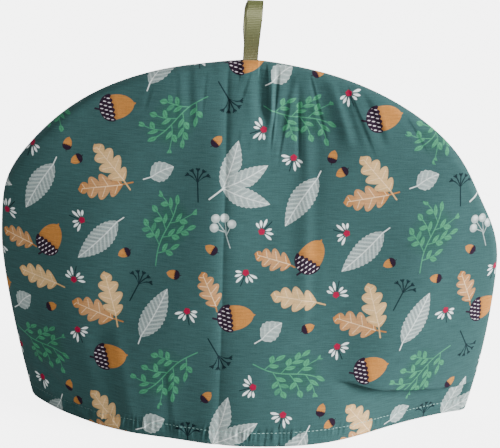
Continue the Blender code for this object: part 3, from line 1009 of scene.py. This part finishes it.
def drawDaisy(drawing):
    # half a flower: two fans of unequal petals about a dark line
    m = motifs["daisy"]
    x, y, sector = polar(drawing.x, drawing.y, math.radians(27), 3)
    tip = m["petal"] - absolute(wave(sector * 2.3 + 0.9)) * 2.3
    share = calc("DIVIDE", y - 2.4, tip - 2.4, clamp=True)
    petal = power(wave(power(share, 1.35) * math.pi), 0.62) * 1.0 - 0.15
    blade = inside(absolute(x) - petal)
    middle = inside(0.5 - absolute(sector))
    drawing.lay("petal", blade * middle)
    between = inside(absolute(absolute(sector) - 1.5) - 0.6) * inside(y - m["petal"] * 0.7)
    drawing.lay("dark", between * inside(0.2 - absolute(x) + petal, 0.5) * inside(2.2 - y) * 0.5)
    drawing.lay("dark", inside(strokeOutside(drawing.x, drawing.y, (0, 1.5), (0.5, m["petal"]), 0.6)))
    dent = hypotenuse(drawing.x, drawing.y) + wave(calc("ARCTAN2", drawing.x, drawing.y) * 5) * 0.16
    drawing.lay("heart", inside(dent - m["heart"]))


def drawSimple(name):
    def draw(drawing):
        m = motifs[name]
        if name == "oakLeaf":
            drawOak(drawing, drawing.x, drawing.y, m["leaf"], "cream", m["stem"])
        elif name == "lanceLeaf":
            drawVeinedLeaf(drawing, drawing.x, drawing.y, m["leaf"], 3.5, 1.0, m["stem"])
        elif name == "roundLeaf":
            drawVeinedLeaf(drawing, drawing.x, drawing.y, m["leaf"], 4.2, 0.5, m["stem"])
        else:
            small = 1 / m.get("scale", 1)
            drawAcorn(drawing, drawing.x * small, drawing.y * small, flecked=name == "acorn")

    return draw


draws = {
    "leafTrio": drawTrio,
    "oakPair": drawOakPair,
    "acornLeaf": drawAcornLeaf,
    "sprig": drawSprig,
    "berries": drawBerries,
    "umbel": drawUmbel,
    "daisy": drawDaisy,
}


# Materials

cotton = {
    "roughness": 0.9,
    "sheen": 0.02,
    "specular": 0.1,
    "slub": (0.10, 1.3, 0.36),  # streaks: scale along and across the thread, and how strong
    "speck": (1.4, 0.2),
    "fade": (0.018, 0.12),
    "weavePitch": 0.44,
    "bump": 0.00007,
}


def noiseField(tree, vector, scales, detail=2.0):
    mapping = tree.nodes.new("ShaderNodeMapping")
    tree.links.new(vector, mapping.inputs["Vector"])
    mapping.inputs["Scale"].default_value = (*scales, 1)
    noise = tree.nodes.new("ShaderNodeTexNoise")
    noise.inputs["Scale"].default_value = 1
    noise.inputs["Detail"].default_value = detail
    tree.links.new(mapping.outputs[0], noise.inputs["Vector"])
    return Field(tree, noise.outputs[0])


def makeClothGroup():
    # slubby cotton over any colour: streaks along the thread, specks, slow fading, and the weave's height
    tree = bpy.data.node_groups.new("slubCotton", "ShaderNodeTree")
    tree.interface.new_socket("Place", in_out="INPUT", socket_type="NodeSocketVector")
    tree.interface.new_socket("Print", in_out="INPUT", socket_type="NodeSocketColor")
    tree.interface.new_socket("Color", in_out="OUTPUT", socket_type="NodeSocketColor")
    tree.interface.new_socket("Height", in_out="OUTPUT", socket_type="NodeSocketFloat")
    entry, out = tree.nodes.new("NodeGroupInput"), tree.nodes.new("NodeGroupOutput")
    place = entry.outputs["Place"]
    slubAlong, slubAcross, slubStrength = cotton["slub"]
    slub = noiseField(tree, place, (slubAlong, slubAcross))
    upright = noiseField(tree, place, (slubAcross, slubAlong))
    speck = noiseField(tree, place, (cotton["speck"][0],) * 2, 1.0)
    fade = noiseField(tree, place, (cotton["fade"][0],) * 2)
    tone = (slub - 0.5) * slubStrength * 2 + (upright - 0.5) * slubStrength * 0.6
    tone = tone + (speck - 0.5) * cotton["speck"][1] * 2 + (fade - 0.5) * cotton["fade"][1] * 2 + 1
    shaded = tree.nodes.new("ShaderNodeVectorMath")
    shaded.operation = "SCALE"
    tree.links.new(entry.outputs["Print"], shaded.inputs[0])
    tree.links.new(tone.socket, shaded.inputs["Scale"])
    tree.links.new(shaded.outputs[0], out.inputs["Color"])
    across, up, _ = vectorParts(tree, place)
    turn = 2 * math.pi / cotton["weavePitch"]
    weave = wave(across * turn) * wave(up * turn)
    height = weave * 0.5 + slub * 1.6 + speck
    tree.links.new(height.socket, out.inputs["Height"])
    return tree


def newMaterial(name, color, roughness, sheen, specular=0.3):
    material = bpy.data.materials.new(name)
    material.use_nodes = True
    shader = material.node_tree.nodes["Principled BSDF"]
    shader.inputs["Base Color"].default_value = color
    shader.inputs["Roughness"].default_value = roughness
    shader.inputs["Sheen Weight"].default_value = sheen
    shader.inputs["Sheen Roughness"].default_value = 0.5
    shader.inputs["Specular IOR Level"].default_value = specular
    return material, material.node_tree, shader


def uvNode(tree, name):
    node = tree.nodes.new("ShaderNodeUVMap")
    node.uv_map = name
    return node.outputs[0]


def objectPlace(tree):
    return tree.nodes.new("ShaderNodeTexCoord").outputs["Object"]


def addBump(tree, shader, height, distance):
    bump = tree.nodes.new("ShaderNodeBump")
    bump.inputs["Strength"].default_value = 1
    bump.inputs["Distance"].default_value = distance
    tree.links.new(height, bump.inputs["Height"])
    tree.links.new(bump.outputs[0], shader.inputs["Normal"])


def clothMaterial(name, clothGroup, drawing, ground="ground"):
    look = (cotton["roughness"], cotton["sheen"], cotton["specular"])
    material, tree, shader = newMaterial(name, ink(ground), *look)
    cloth = tree.nodes.new("ShaderNodeGroup")
    cloth.node_tree = clothGroup
    tree.links.new(uvNode(tree, "clothPlace"), cloth.inputs["Place"])
    cloth.inputs["Print"].default_value = ink(ground)
    if drawing:
        motif = tree.nodes.new("ShaderNodeGroup")
        motif.node_tree = drawing
        motif.inputs["Ground"].default_value = ink(ground)
        tree.links.new(uvNode(tree, "printPlace"), motif.inputs["Place"])
        tree.links.new(motif.outputs["Color"], cloth.inputs["Print"])
    tree.links.new(cloth.outputs["Color"], shader.inputs["Base Color"])
    addBump(tree, shader, cloth.outputs["Height"], cotton["bump"])
    return material


def makeClothMaterials():
    clothGroup = makeClothGroup()
    made = []
    for name in motifs:
        drawing = Drawing(name + "Print")
        draws.get(name, drawSimple(name))(drawing)
        made.append(clothMaterial("cotton_" + name, clothGroup, drawing.done()))
    made.append(clothMaterial("cotton_plain", clothGroup, None))
    made.append(clothMaterial("cotton_wrongSide", clothGroup, None, "wrongSide"))
    print("cloth materials:", len(made))
    return made


# Panels


def addPiece(name, data):
    piece = bpy.data.objects.new(name, data)
    bpy.context.scene.collection.objects.link(piece)
    return piece


def cornerPoints(mesh):
    # the point that each corner of each face sits on
    corners = np.empty(len(mesh.loops), int)
    mesh.loops.foreach_get("vertex_index", corners)
    return corners


def setMap(mesh, name, values):
    layer = mesh.uv_layers.new(name=name)
    layer.data.foreach_set("uv", np.ascontiguousarray(values, np.float32).reshape(-1))


# The bake map: the outside large, the inside small below it, the seam's walls in a strip
bakeMap = {
    "wide": 384.0,  # millimetres of cloth to a scale of 1
    "outside": (0.98, 0.98, 0.01, 0.31),  # scale across and up, then the lower left corner
    "inside": (0.4, 0.4, 0.01, 0.01),
    "walls": (0.5, 0.3, 0.45, 0.02),
    "belowHem": 8,  # millimetres kept for the rim
    "wallWide": 0.008,
}


def bakePlaces(places, part, below=0):
    scaleAcross, scaleUp, startX, startY = bakeMap[part]
    wide = bakeMap["wide"]
    return (places + (wide / 2, below)) / wide * (scaleAcross, scaleUp) + (startX, startY)


def buildPanel(panel, laid, materials):
    outer, inner, roundEdge = panelFaces(panel)
    rows, columns = outer.shape[:2]
    rimSteps = cosy["rimSteps"]
    middle, half = (outer[0] + inner[0]) / 2, (outer[0] - inner[0]) / 2
    turns = np.linspace(0, math.pi, rimSteps + 2)[1:-1]
    rim = np.stack([middle + half * math.cos(turn) for turn in turns])
    rim[:, :, 2] -= (cosy["cloth"] / 2) * np.sin(turns)[:, None]
    # rows run down the outside, round the hem and up the inside
    points = np.concatenate([outer[::-1], rim, inner])
    count = len(points)
    index = np.arange(count * columns).reshape(count, columns)
    if panel["facing"] > 0:
        index = index[:, ::-1]
    quads = np.stack([index[1:, :-1], index[1:, 1:], index[:-1, 1:], index[:-1, :-1]], axis=-1)
    quads = quads.reshape(-1, 4)
    first, last = index[0], index[-1]
    top = np.stack([first[:-1], first[1:], last[1:], last[:-1]], axis=-1)
    walls = [top]
    ends = []
    for column, flip in ((index[:, 0], False), (index[:, -1], True)):
        out, back = column[:rows], column[rows + rimSteps :][::-1]
        side = np.stack([out[:-1], back[:-1], back[1:], out[1:]], axis=-1)
        loop = column[rows - 1 : rows + rimSteps + 1]
        walls.append(side[:, ::-1] if flip else side)
        ends.append(loop if flip else loop[::-1])
    faces = np.concatenate([quads, *walls])
    mesh = bpy.data.meshes.new(panel["piece"])
    mesh.from_pydata(points.reshape(-1, 3), [], [f.tolist() for f in faces] + [e.tolist() for e in ends])
    mesh.validate()
    # places in the flat cloth; the rim goes on below the hem, and the inside is a mirror of the outside
    outerPlace = clothPlaces(outer[:, :, 0], outer[:, :, 2], panel) + roundEdge
    drop = np.linspace(0, math.pi * cosy["cloth"] / 2 / mm, rimSteps + 2)[1:-1]
    rimPlace = outerPlace[0][None] - np.stack([np.zeros_like(drop), drop], axis=1)[:, None]
    innerPlace = clothPlaces(inner[:, :, 0], inner[:, :, 2], panel)
    places = np.concatenate([outerPlace[::-1], rimPlace, innerPlace]).reshape(-1, 2)
    corners = cornerPoints(mesh)
    place = places[corners]
    quadPlaces = place[: len(faces) * 4].reshape(-1, 4, 2)
    middles = quadPlaces.mean(axis=1) + panel["printShift"]
    owner, local = printOn(middles, quadPlaces + panel["printShift"], laid)
    rowOf = np.arange(len(quads)) // (columns - 1)
    plain, wrongSide = len(motifs), len(motifs) + 1
    material = np.full(len(mesh.polygons), wrongSide)
    material[: len(quads)] = np.where(owner[: len(quads)] < 0, plain, owner[: len(quads)])
    insideHeight = inner[:-1, :-1, 2].reshape(-1)
    isInside = rowOf >= rows + rimSteps
    material[: len(quads)][isInside] = np.where(insideHeight < hem["turnUp"], plain, wrongSide)
    mesh.polygons.foreach_set("material_index", material.astype(np.int32))
    faceOfCorner = np.repeat(np.arange(len(mesh.polygons)), [p.loop_total for p in mesh.polygons])
    innerCorner = np.zeros(len(corners), bool)
    innerCorner[: len(quads) * 4] = np.repeat(isInside, 4)
    wallCorner = faceOfCorner >= len(quads)
    onOuter = (corners // columns < rows)[wallCorner]
    bake = bakePlaces(place, "outside", bakeMap["belowHem"])
    bake[innerCorner] = bakePlaces(place[innerCorner], "inside")
    bake[wallCorner] = bakePlaces(place[wallCorner], "walls")
    bake[wallCorner, 1] += onOuter * bakeMap["wallWide"]
    printPlace = place.copy()
    printPlace[: len(faces) * 4] = local.reshape(-1, 2)
    for name, values in (("OFBake", bake), ("clothPlace", place), ("printPlace", printPlace)):
        setMap(mesh, name, values)
    for one in materials:
        mesh.materials.append(one)
    mesh.shade_smooth()
    mesh.set_sharp_from_angle(angle=math.radians(60))
    print(panel["piece"], "triangles:", sum(p.loop_total - 2 for p in mesh.polygons))
    return addPiece(panel["piece"], mesh), outer


# Stitches and ribs: one row of small shapes set along points that know their direction


# A shape of length, width and height 1: its node, that node's inputs and its turn to lie along the row
rowShapes = {
    "bead": ("GeometryNodeMeshUVSphere", {"Segments": 8, "Rings": 6, "Radius": 0.5}, (0, 0, 0)),
    "rod": ("GeometryNodeMeshCylinder", {"Vertices": 8, "Radius": 0.5, "Depth": 1}, (0, math.pi / 2, 0)),
}


def rowTree(name, shape):
    tree = bpy.data.node_groups.new(name, "GeometryNodeTree")
    tree.is_modifier = True
    for label, kind, value in (
        ("Geometry", "NodeSocketGeometry", None),
        ("Length", "NodeSocketFloat", 0.002),
        ("Width", "NodeSocketFloat", 0.0006),
        ("Height", "NodeSocketFloat", 0.0004),
        ("Unevenness", "NodeSocketFloat", 0.1),
        ("Seed", "NodeSocketInt", 0),
        ("Material", "NodeSocketMaterial", None),
    ):
        socket = tree.interface.new_socket(label, in_out="INPUT", socket_type=kind)
        if value is not None:
            socket.default_value = value
    tree.interface.new_socket("Geometry", in_out="OUTPUT", socket_type="NodeSocketGeometry")
    new, link = tree.nodes.new, tree.links.new
    entry, out = new("NodeGroupInput"), new("NodeGroupOutput")
    kind, sizes, turn = rowShapes[shape]
    body, lay, smoothed = new(kind), new("GeometryNodeTransform"), new("GeometryNodeSetShadeSmooth")
    for label, value in sizes.items():
        body.inputs[label].default_value = value
    lay.inputs["Rotation"].default_value = turn
    link(body.outputs["Mesh"], lay.inputs["Geometry"])
    link(lay.outputs[0], smoothed.inputs["Geometry"])
    directions = {}
    for attribute in ("along", "outward"):
        read = new("GeometryNodeInputNamedAttribute")
        read.data_type = "FLOAT_VECTOR"
        read.inputs["Name"].default_value = attribute
        directions[attribute] = read.outputs["Attribute"]
    axes = new("FunctionNodeAxesToRotation")
    axes.primary_axis, axes.secondary_axis = "Z", "X"
    link(directions["outward"], axes.inputs[0])
    link(directions["along"], axes.inputs[1])
    uneven = new("FunctionNodeRandomValue")
    uneven.data_type = "FLOAT"
    low, high = new("ShaderNodeMath"), new("ShaderNodeMath")
    low.operation, high.operation = "SUBTRACT", "ADD"
    for limit, socket in ((low, uneven.inputs[2]), (high, uneven.inputs[3])):
        limit.inputs[0].default_value = 1
        link(entry.outputs["Unevenness"], limit.inputs[1])
        link(limit.outputs[0], socket)
    link(entry.outputs["Seed"], uneven.inputs["Seed"])
    longer = new("ShaderNodeMath")
    longer.operation = "MULTIPLY"
    link(entry.outputs["Length"], longer.inputs[0])
    link(uneven.outputs[1], longer.inputs[1])
    scale = new("ShaderNodeCombineXYZ")
    link(longer.outputs[0], scale.inputs[0])
    link(entry.outputs["Width"], scale.inputs[1])
    link(entry.outputs["Height"], scale.inputs[2])
    place = new("GeometryNodeInstanceOnPoints")
    link(entry.outputs["Geometry"], place.inputs["Points"])
    link(smoothed.outputs[0], place.inputs["Instance"])
    link(axes.outputs[0], place.inputs["Rotation"])
    link(scale.outputs[0], place.inputs["Scale"])
    real, painted = new("GeometryNodeRealizeInstances"), new("GeometryNodeSetMaterial")
    link(place.outputs[0], real.inputs[0])
    link(real.outputs[0], painted.inputs["Geometry"])
    link(entry.outputs["Material"], painted.inputs["Material"])
    link(painted.outputs[0], out.inputs[0])
    return tree


def setRow(name, tree, points, alongs, outwards, settings, material):
    # runs the tree over a row of points and keeps its result as a plain mesh
    seedMesh = bpy.data.meshes.new(name + "Points")
    seedMesh.from_pydata(points.tolist(), [], [])
    for label, values in (("along", alongs), ("outward", outwards)):
        attribute = seedMesh.attributes.new(label, "FLOAT_VECTOR", "POINT")
        attribute.data.foreach_set("vector", np.ascontiguousarray(values, np.float32).reshape(-1))
    seedObject = addPiece(name + "Points", seedMesh)
    modifier = seedObject.modifiers.new("row", "NODES")
    modifier.node_group = tree
    sockets = {s.name: s.identifier for s in tree.interface.items_tree if s.in_out == "INPUT"}
    for label, value in {**settings, "Material": material}.items():
        modifier[sockets[label]] = value
    evaluated = seedObject.evaluated_get(bpy.context.evaluated_depsgraph_get())
    mesh = bpy.data.meshes.new_from_object(evaluated)
    mesh.name = name
    mesh.set_sharp_from_angle(angle=math.radians(60))
    bpy.data.objects.remove(seedObject)
    print(name, "made,", len(mesh.polygons), "faces")
    return addPiece(name, mesh)


topstitch = {
    "pitch": 2.9 * mm,
    "ends": (5 * mm, 4 * mm),  # bare cloth before the first stitch and after the last
    "drift": (0.15, 0.12),  # how far a stitch strays along the row and up or down, in millimetres
    "lift": 0.08 * mm,
    "shape": {
        "Length": 1.95 * mm,
        "Width": 0.46 * mm,
        "Height": 0.42 * mm,
        "Unevenness": 0.14,
        "Seed": 3,
    },
}


def hemStitches(panel, outer, tree, material):
    # one stitch after another along the outer face, at the same height above the floor
    columns = np.arange(outer.shape[1])
    above = np.argmax(outer[:, :, 2] > hem["stitchHeight"], axis=0)
    low, high = outer[above - 1, columns], outer[above, columns]
    share = ((hem["stitchHeight"] - low[:, 2]) / (high[:, 2] - low[:, 2]))[:, None]
    line = low * (1 - share) + high * share
    normals = -panel["facing"] * gridNormals(outer)[above, columns]
    shake = np.random.default_rng(panel["seed"])
    first, last = topstitch["ends"]
    driftAlong, driftUp = topstitch["drift"]
    places = np.arange(first, runOf(line)[-1] - last, topstitch["pitch"])
    places = places + shake.uniform(-driftAlong, driftAlong, len(places)) * mm
    shape = topstitch["shape"]
    ahead = lineAt(line, line, places + shape["Length"] / 2)
    behind = lineAt(line, line, places - shape["Length"] / 2)
    outward = lineAt(line, normals, places)
    points = (ahead + behind) / 2 + outward * topstitch["lift"]
    points[:, 2] += shake.uniform(-driftUp, driftUp, len(points)) * mm
    return setRow(panel["piece"] + "Stitches", tree, points, ahead - behind, outward, shape, material)


# Ribbon


def loopPath(steps):
    # the ribbon's middle line from the side, as y and z: up the front leg, round and down the back leg
    leg = ribbon["thick"] / 2 + cosy["seamGap"]
    base = cosy["seamTop"] + cosy["peakLift"]
    crown = base + ribbon["rise"] - ribbon["crown"]
    rise = np.linspace(0, 1, steps // 2)
    z = base + (crown - base) * rise
    y = leg + (ribbon["bulge"] - leg) * smooth(rise)
    turn = np.linspace(0, math.pi / 2, steps // 4)[1:]
    y = np.concatenate([[leg, leg], y[1:], ribbon["bulge"] * np.cos(turn)])
    z = np.concatenate([[base - ribbon["tail"], base], z[1:], crown + ribbon["crown"] * np.sin(turn)])
    front = np.stack([-y, z], axis=1)
    back = np.stack([y[:-1], z[:-1]], axis=1)[::-1]
    return np.concatenate([front, back])


def ribbonFrame(places=None):
    # points along the ribbon's middle, the way out of the loop at each, and the ribbon's length
    path = loopPath(ribbon["steps"])
    length = runOf(path)[-1]
    if places is None:
        places = np.linspace(0, length, 2 * ribbon["steps"])
    line = lineAt(path, path, places)
    step = np.gradient(line, axis=0)
    step /= np.linalg.norm(step, axis=1, keepdims=True)
    outward = np.stack([-step[:, 1], step[:, 0]], axis=1)
    return line, outward, length


def leanOf(y, z):
    # how far right of the loop's foot each point stands
    lean = ribbon["lean"] * smooth((z - cosy["seamTop"]) / ribbon["rise"])
    back = smooth((y / ribbon["bulge"] - ribbon["twistFrom"]) / (1 - ribbon["twistFrom"]))
    return lean - ribbon["twist"] * back


def buildRibbon(material):
    line, outward, length = ribbonFrame()
    count = len(line)
    flat, bend, rim = ribbon["section"]
    across = np.linspace(-flat, flat, ribbon["columns"])
    across = np.concatenate([[-rim, -bend], across, [bend, rim]])
    half = ribbon["core"] / 2 * np.interp(np.abs(across), ribbon["section"], ribbon["sectionThick"])
    waver, waverPace = ribbon["waver"]
    widen = 1 + waver * np.sin(np.arange(count) * waverPace)
    widen = widen + ribbon["spread"] * smooth((line[:, 1] - cosy["seamTop"]) / ribbon["rise"])
    rows = []
    for sign in (1, -1):
        faceY = line[:, :1] + sign * outward[:, :1] * half[None]
        faceZ = line[:, 1:] + sign * outward[:, 1:] * half[None]
        faceX = ribbon["x"] + across[None] * ribbon["width"] * widen[:, None] + leanOf(faceY, faceZ)
        rows.append(np.stack([faceX, faceY + sway(ribbon["x"], cosy["seamTop"]), faceZ], axis=2))
    ring = np.concatenate([rows[0], rows[1][:, ::-1]], axis=1)  # round the ribbon's section
    around = ring.shape[1]
    index = np.arange(count * around).reshape(count, around)
    following = np.roll(index, -1, axis=1)
    quads = np.stack([index[:-1], index[1:], following[1:], following[:-1]], axis=-1).reshape(-1, 4)
    ends = [index[0].tolist(), index[-1][::-1].tolist()]
    mesh = bpy.data.meshes.new("ribbonLoop")
    mesh.from_pydata(ring.reshape(-1, 3), [], quads.tolist() + ends)
    mesh.validate()
    corners = cornerPoints(mesh)
    ringPlace = np.concatenate([across, across[::-1]])[corners % around]
    linePlace = (corners // around) / (count - 1) * length / mm
    setMap(mesh, "ribbonPlace", np.stack([ringPlace, linePlace], axis=1))
    mesh.materials.append(material)
    mesh.shade_smooth()
    mesh.set_sharp_from_angle(angle=math.radians(35))
    print("ribbonLoop made, length in mm:", round(length / mm, 1))
    return addPiece("ribbonLoop", mesh)


def buildRibs(tree, material):
    # fine ribs across both faces of the ribbon
    total = ribbonFrame()[2]
    places = np.arange(ribbon["ribPitch"], total - ribbon["ribPitch"] / 2, ribbon["ribPitch"])
    line, outward, _ = ribbonFrame(places)
    points, alongs, outwards = [], [], []
    for sign in (1, -1):
        offset = sign * (ribbon["core"] / 2 + ribbon["ribShows"] - ribbon["ribHigh"] / 2)
        y, z = (line + outward * offset).T
        x = ribbon["x"] + leanOf(y, z)
        points.append(np.stack([x, y + sway(ribbon["x"], cosy["seamTop"]), z], axis=1))
        alongs.append(np.tile((1.0, 0, 0), (len(x), 1)))
        outwards.append(np.stack([np.zeros(len(x)), sign * outward[:, 0], sign * outward[:, 1]], axis=1))
    settings = {
        "Length": ribbon["width"] - 2 * ribbon["selvedge"],
        "Width": ribbon["ribWide"],
        "Height": ribbon["ribHigh"],
        "Unevenness": 0.01,
        "Seed": 1,
    }
    joined = (np.concatenate(part) for part in (points, alongs, outwards))
    return setRow("ribbonRibs", tree, *joined, settings, material)


def ribbonMaterial():
    # olive grosgrain, darker low down and along its selvedges, with a satin gloss
    material, tree, shader = newMaterial("oliveRibbon", (0.1, 0.11, 0.035, 1), 0.3, 0.1, 1.0)
    shader.inputs["IOR"].default_value = 1.7
    shader.inputs["Sheen Tint"].default_value = (0.85, 0.9, 0.5, 1)
    shader.inputs["Specular Tint"].default_value = (1.0, 0.98, 0.62, 1)
    place = objectPlace(tree)
    noise = noiseField(tree, place, (900, 900), 3)
    height = vectorParts(tree, place)[2]
    across = vectorParts(tree, uvNode(tree, "ribbonPlace"))[0]
    share = (height - cosy["seamTop"]) / ribbon["rise"] + (noise - 0.5) * 0.5
    color = mixed(tree, ramp(share, 1.5, 0), (0.05, 0.057, 0.015, 1), (0.1, 0.115, 0.037, 1))
    selvedge = calc("GREATER_THAN", absolute(across), 0.43)
    color = mixed(tree, selvedge * 0.75, color, (0.035, 0.038, 0.012, 1))
    tree.links.new(color, shader.inputs["Base Color"])
    rough = noise * 0.12 + 0.2
    tree.links.new(rough.socket, shader.inputs["Roughness"])
    addBump(tree, shader, noise.socket, 0.00002)
    return material


def threadMaterial():
    # pale mint thread, with painted shade that turns it dark teal towards the left end of the hem
    material, tree, shader = newMaterial("hemThread", (0.5, 0.62, 0.57, 1), 0.6, 0.2)
    place = objectPlace(tree)
    # painted shade: 0 at the left end of the hem, rising to 1 (lit) further right
    paintedLightToRight = ramp(vectorParts(tree, place)[0], 20, 2.1)
    twist = noiseField(tree, place, (2600, 700), 2)
    twistAndPaintedLight = paintedLightToRight * (twist * 0.5 + 0.65)
    # the dark teal is painted shade and the pale mint is the lit thread; the twist noise varies the
    # thread's own tone
    color = mixed(tree, twistAndPaintedLight, (0.06, 0.14, 0.13, 1), (0.3, 0.54, 0.5, 1))
    tree.links.new(color, shader.inputs["Base Color"])
    addBump(tree, shader, twist.socket, 0.00006)
    return material


# Floor, lights and camera

studio = {
    "elevation": 18,
    "distance": 0.80,
    "target": (0, 0, 0.110),
    "lens": 83.5,
    "roll": 2.4,
    "aim": (0.0007, 0.0193),  # the picture's middle, right of and above the target
    "floor": 6.0,
    "paper": 5.0,  # how bright the lit paper looks, without lighting the cosy
    "ambient": 0.2,
    "lights": (
        # name, degrees to the right of the front, degrees above the floor, strength, softness in degrees
        ("key", 77, 16, 8.7, 26),
        ("front", 5, 18, 1.0, 34),
        ("rim", 205, 40, 1.2, 30),
    ),
}


def setStudio():
    scene = bpy.context.scene
    mesh = bpy.data.meshes.new("floor")
    reach = studio["floor"]
    corners = [(-reach, -reach, 0), (reach, -reach, 0), (reach, reach, 0), (-reach, reach, 0)]
    mesh.from_pydata(corners, [], [(0, 1, 2, 3)])
    paper, tree, shader = newMaterial("paleFloor", (0.86, 0.87, 0.86, 1), 0.9, 0.0, 0.1)
    grain = noiseField(tree, objectPlace(tree), (220, 220))
    tint = mixed(tree, grain, (0.56, 0.57, 0.56, 1), (0.62, 0.62, 0.61, 1))
    tree.links.new(tint, shader.inputs["Base Color"])
    shader.inputs["Emission Color"].default_value = (1, 1, 1, 1)
    lightPath = tree.nodes.new("ShaderNodeLightPath")
    seen = Field(tree, lightPath.outputs["Is Camera Ray"]) * studio["paper"]
    tree.links.new(seen.socket, shader.inputs["Emission Strength"])
    mesh.materials.append(paper)
    floor = addPiece("floor", mesh)
    world = bpy.data.worlds.new("studioLight")
    world.use_nodes = True
    background = world.node_tree.nodes["Background"]
    background.inputs["Color"].default_value = (1, 1, 1, 1)
    background.inputs["Strength"].default_value = studio["ambient"]
    scene.world = world
    for name, turn, height, strength, softness in studio["lights"]:
        turn, height = math.radians(turn), math.radians(height)
        level = math.cos(height)
        toLight = Vector((math.sin(turn) * level, -math.cos(turn) * level, math.sin(height)))
        light = bpy.data.lights.new(name, "SUN")
        light.energy = strength
        light.angle = math.radians(softness)
        lamp = addPiece(name, light)
        lamp.location = toLight * 2
        lamp.rotation_euler = toLight.to_track_quat("Z", "Y").to_euler()


def setCamera():
    tilt, roll = math.radians(studio["elevation"]), math.radians(studio["roll"])
    target = Vector(studio["target"])
    forward = Vector((0, math.cos(tilt), -math.sin(tilt)))
    up, right = Vector((0, math.sin(tilt), math.cos(tilt))), Vector((1, 0, 0))
    place = target - forward * studio["distance"]
    rolledRight = right * math.cos(roll) + up * math.sin(roll)
    rolledUp = up * math.cos(roll) - right * math.sin(roll)
    aimRight, aimUp = studio["aim"]
    forward = (target + rolledRight * aimRight + rolledUp * aimUp - place).normalized()
    right = forward.cross(rolledUp).normalized()
    up = right.cross(forward)
    data = bpy.data.cameras.new("camera")
    data.lens = studio["lens"]
    data.clip_start = 0.01
    camera = addPiece("camera", data)
    turn = Matrix((right, up, -forward)).transposed().to_4x4()
    camera.matrix_world = Matrix.Translation(place) @ turn
    bpy.context.scene.camera = camera


setCamera()
setStudio()
print("studio set")

laid = tossMotifs()
clothMaterials = makeClothMaterials()
thread = threadMaterial()
stitchTree = rowTree("rowOfStitches", "bead")
ribTree = rowTree("rowOfRibs", "rod")

for panel in (frontPanel, backPanel):
    piece, outer = buildPanel(panel, laid, clothMaterials)
    stitches = hemStitches(panel, outer, stitchTree, thread)
    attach(piece, "root")
    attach(stitches, "root")
    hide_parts(panel["node"])

olive = ribbonMaterial()
loop = buildRibbon(olive)
ribs = buildRibs(ribTree, olive)
for piece in (loop, ribs):
    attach(piece, "root")
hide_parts("hanging_loop")
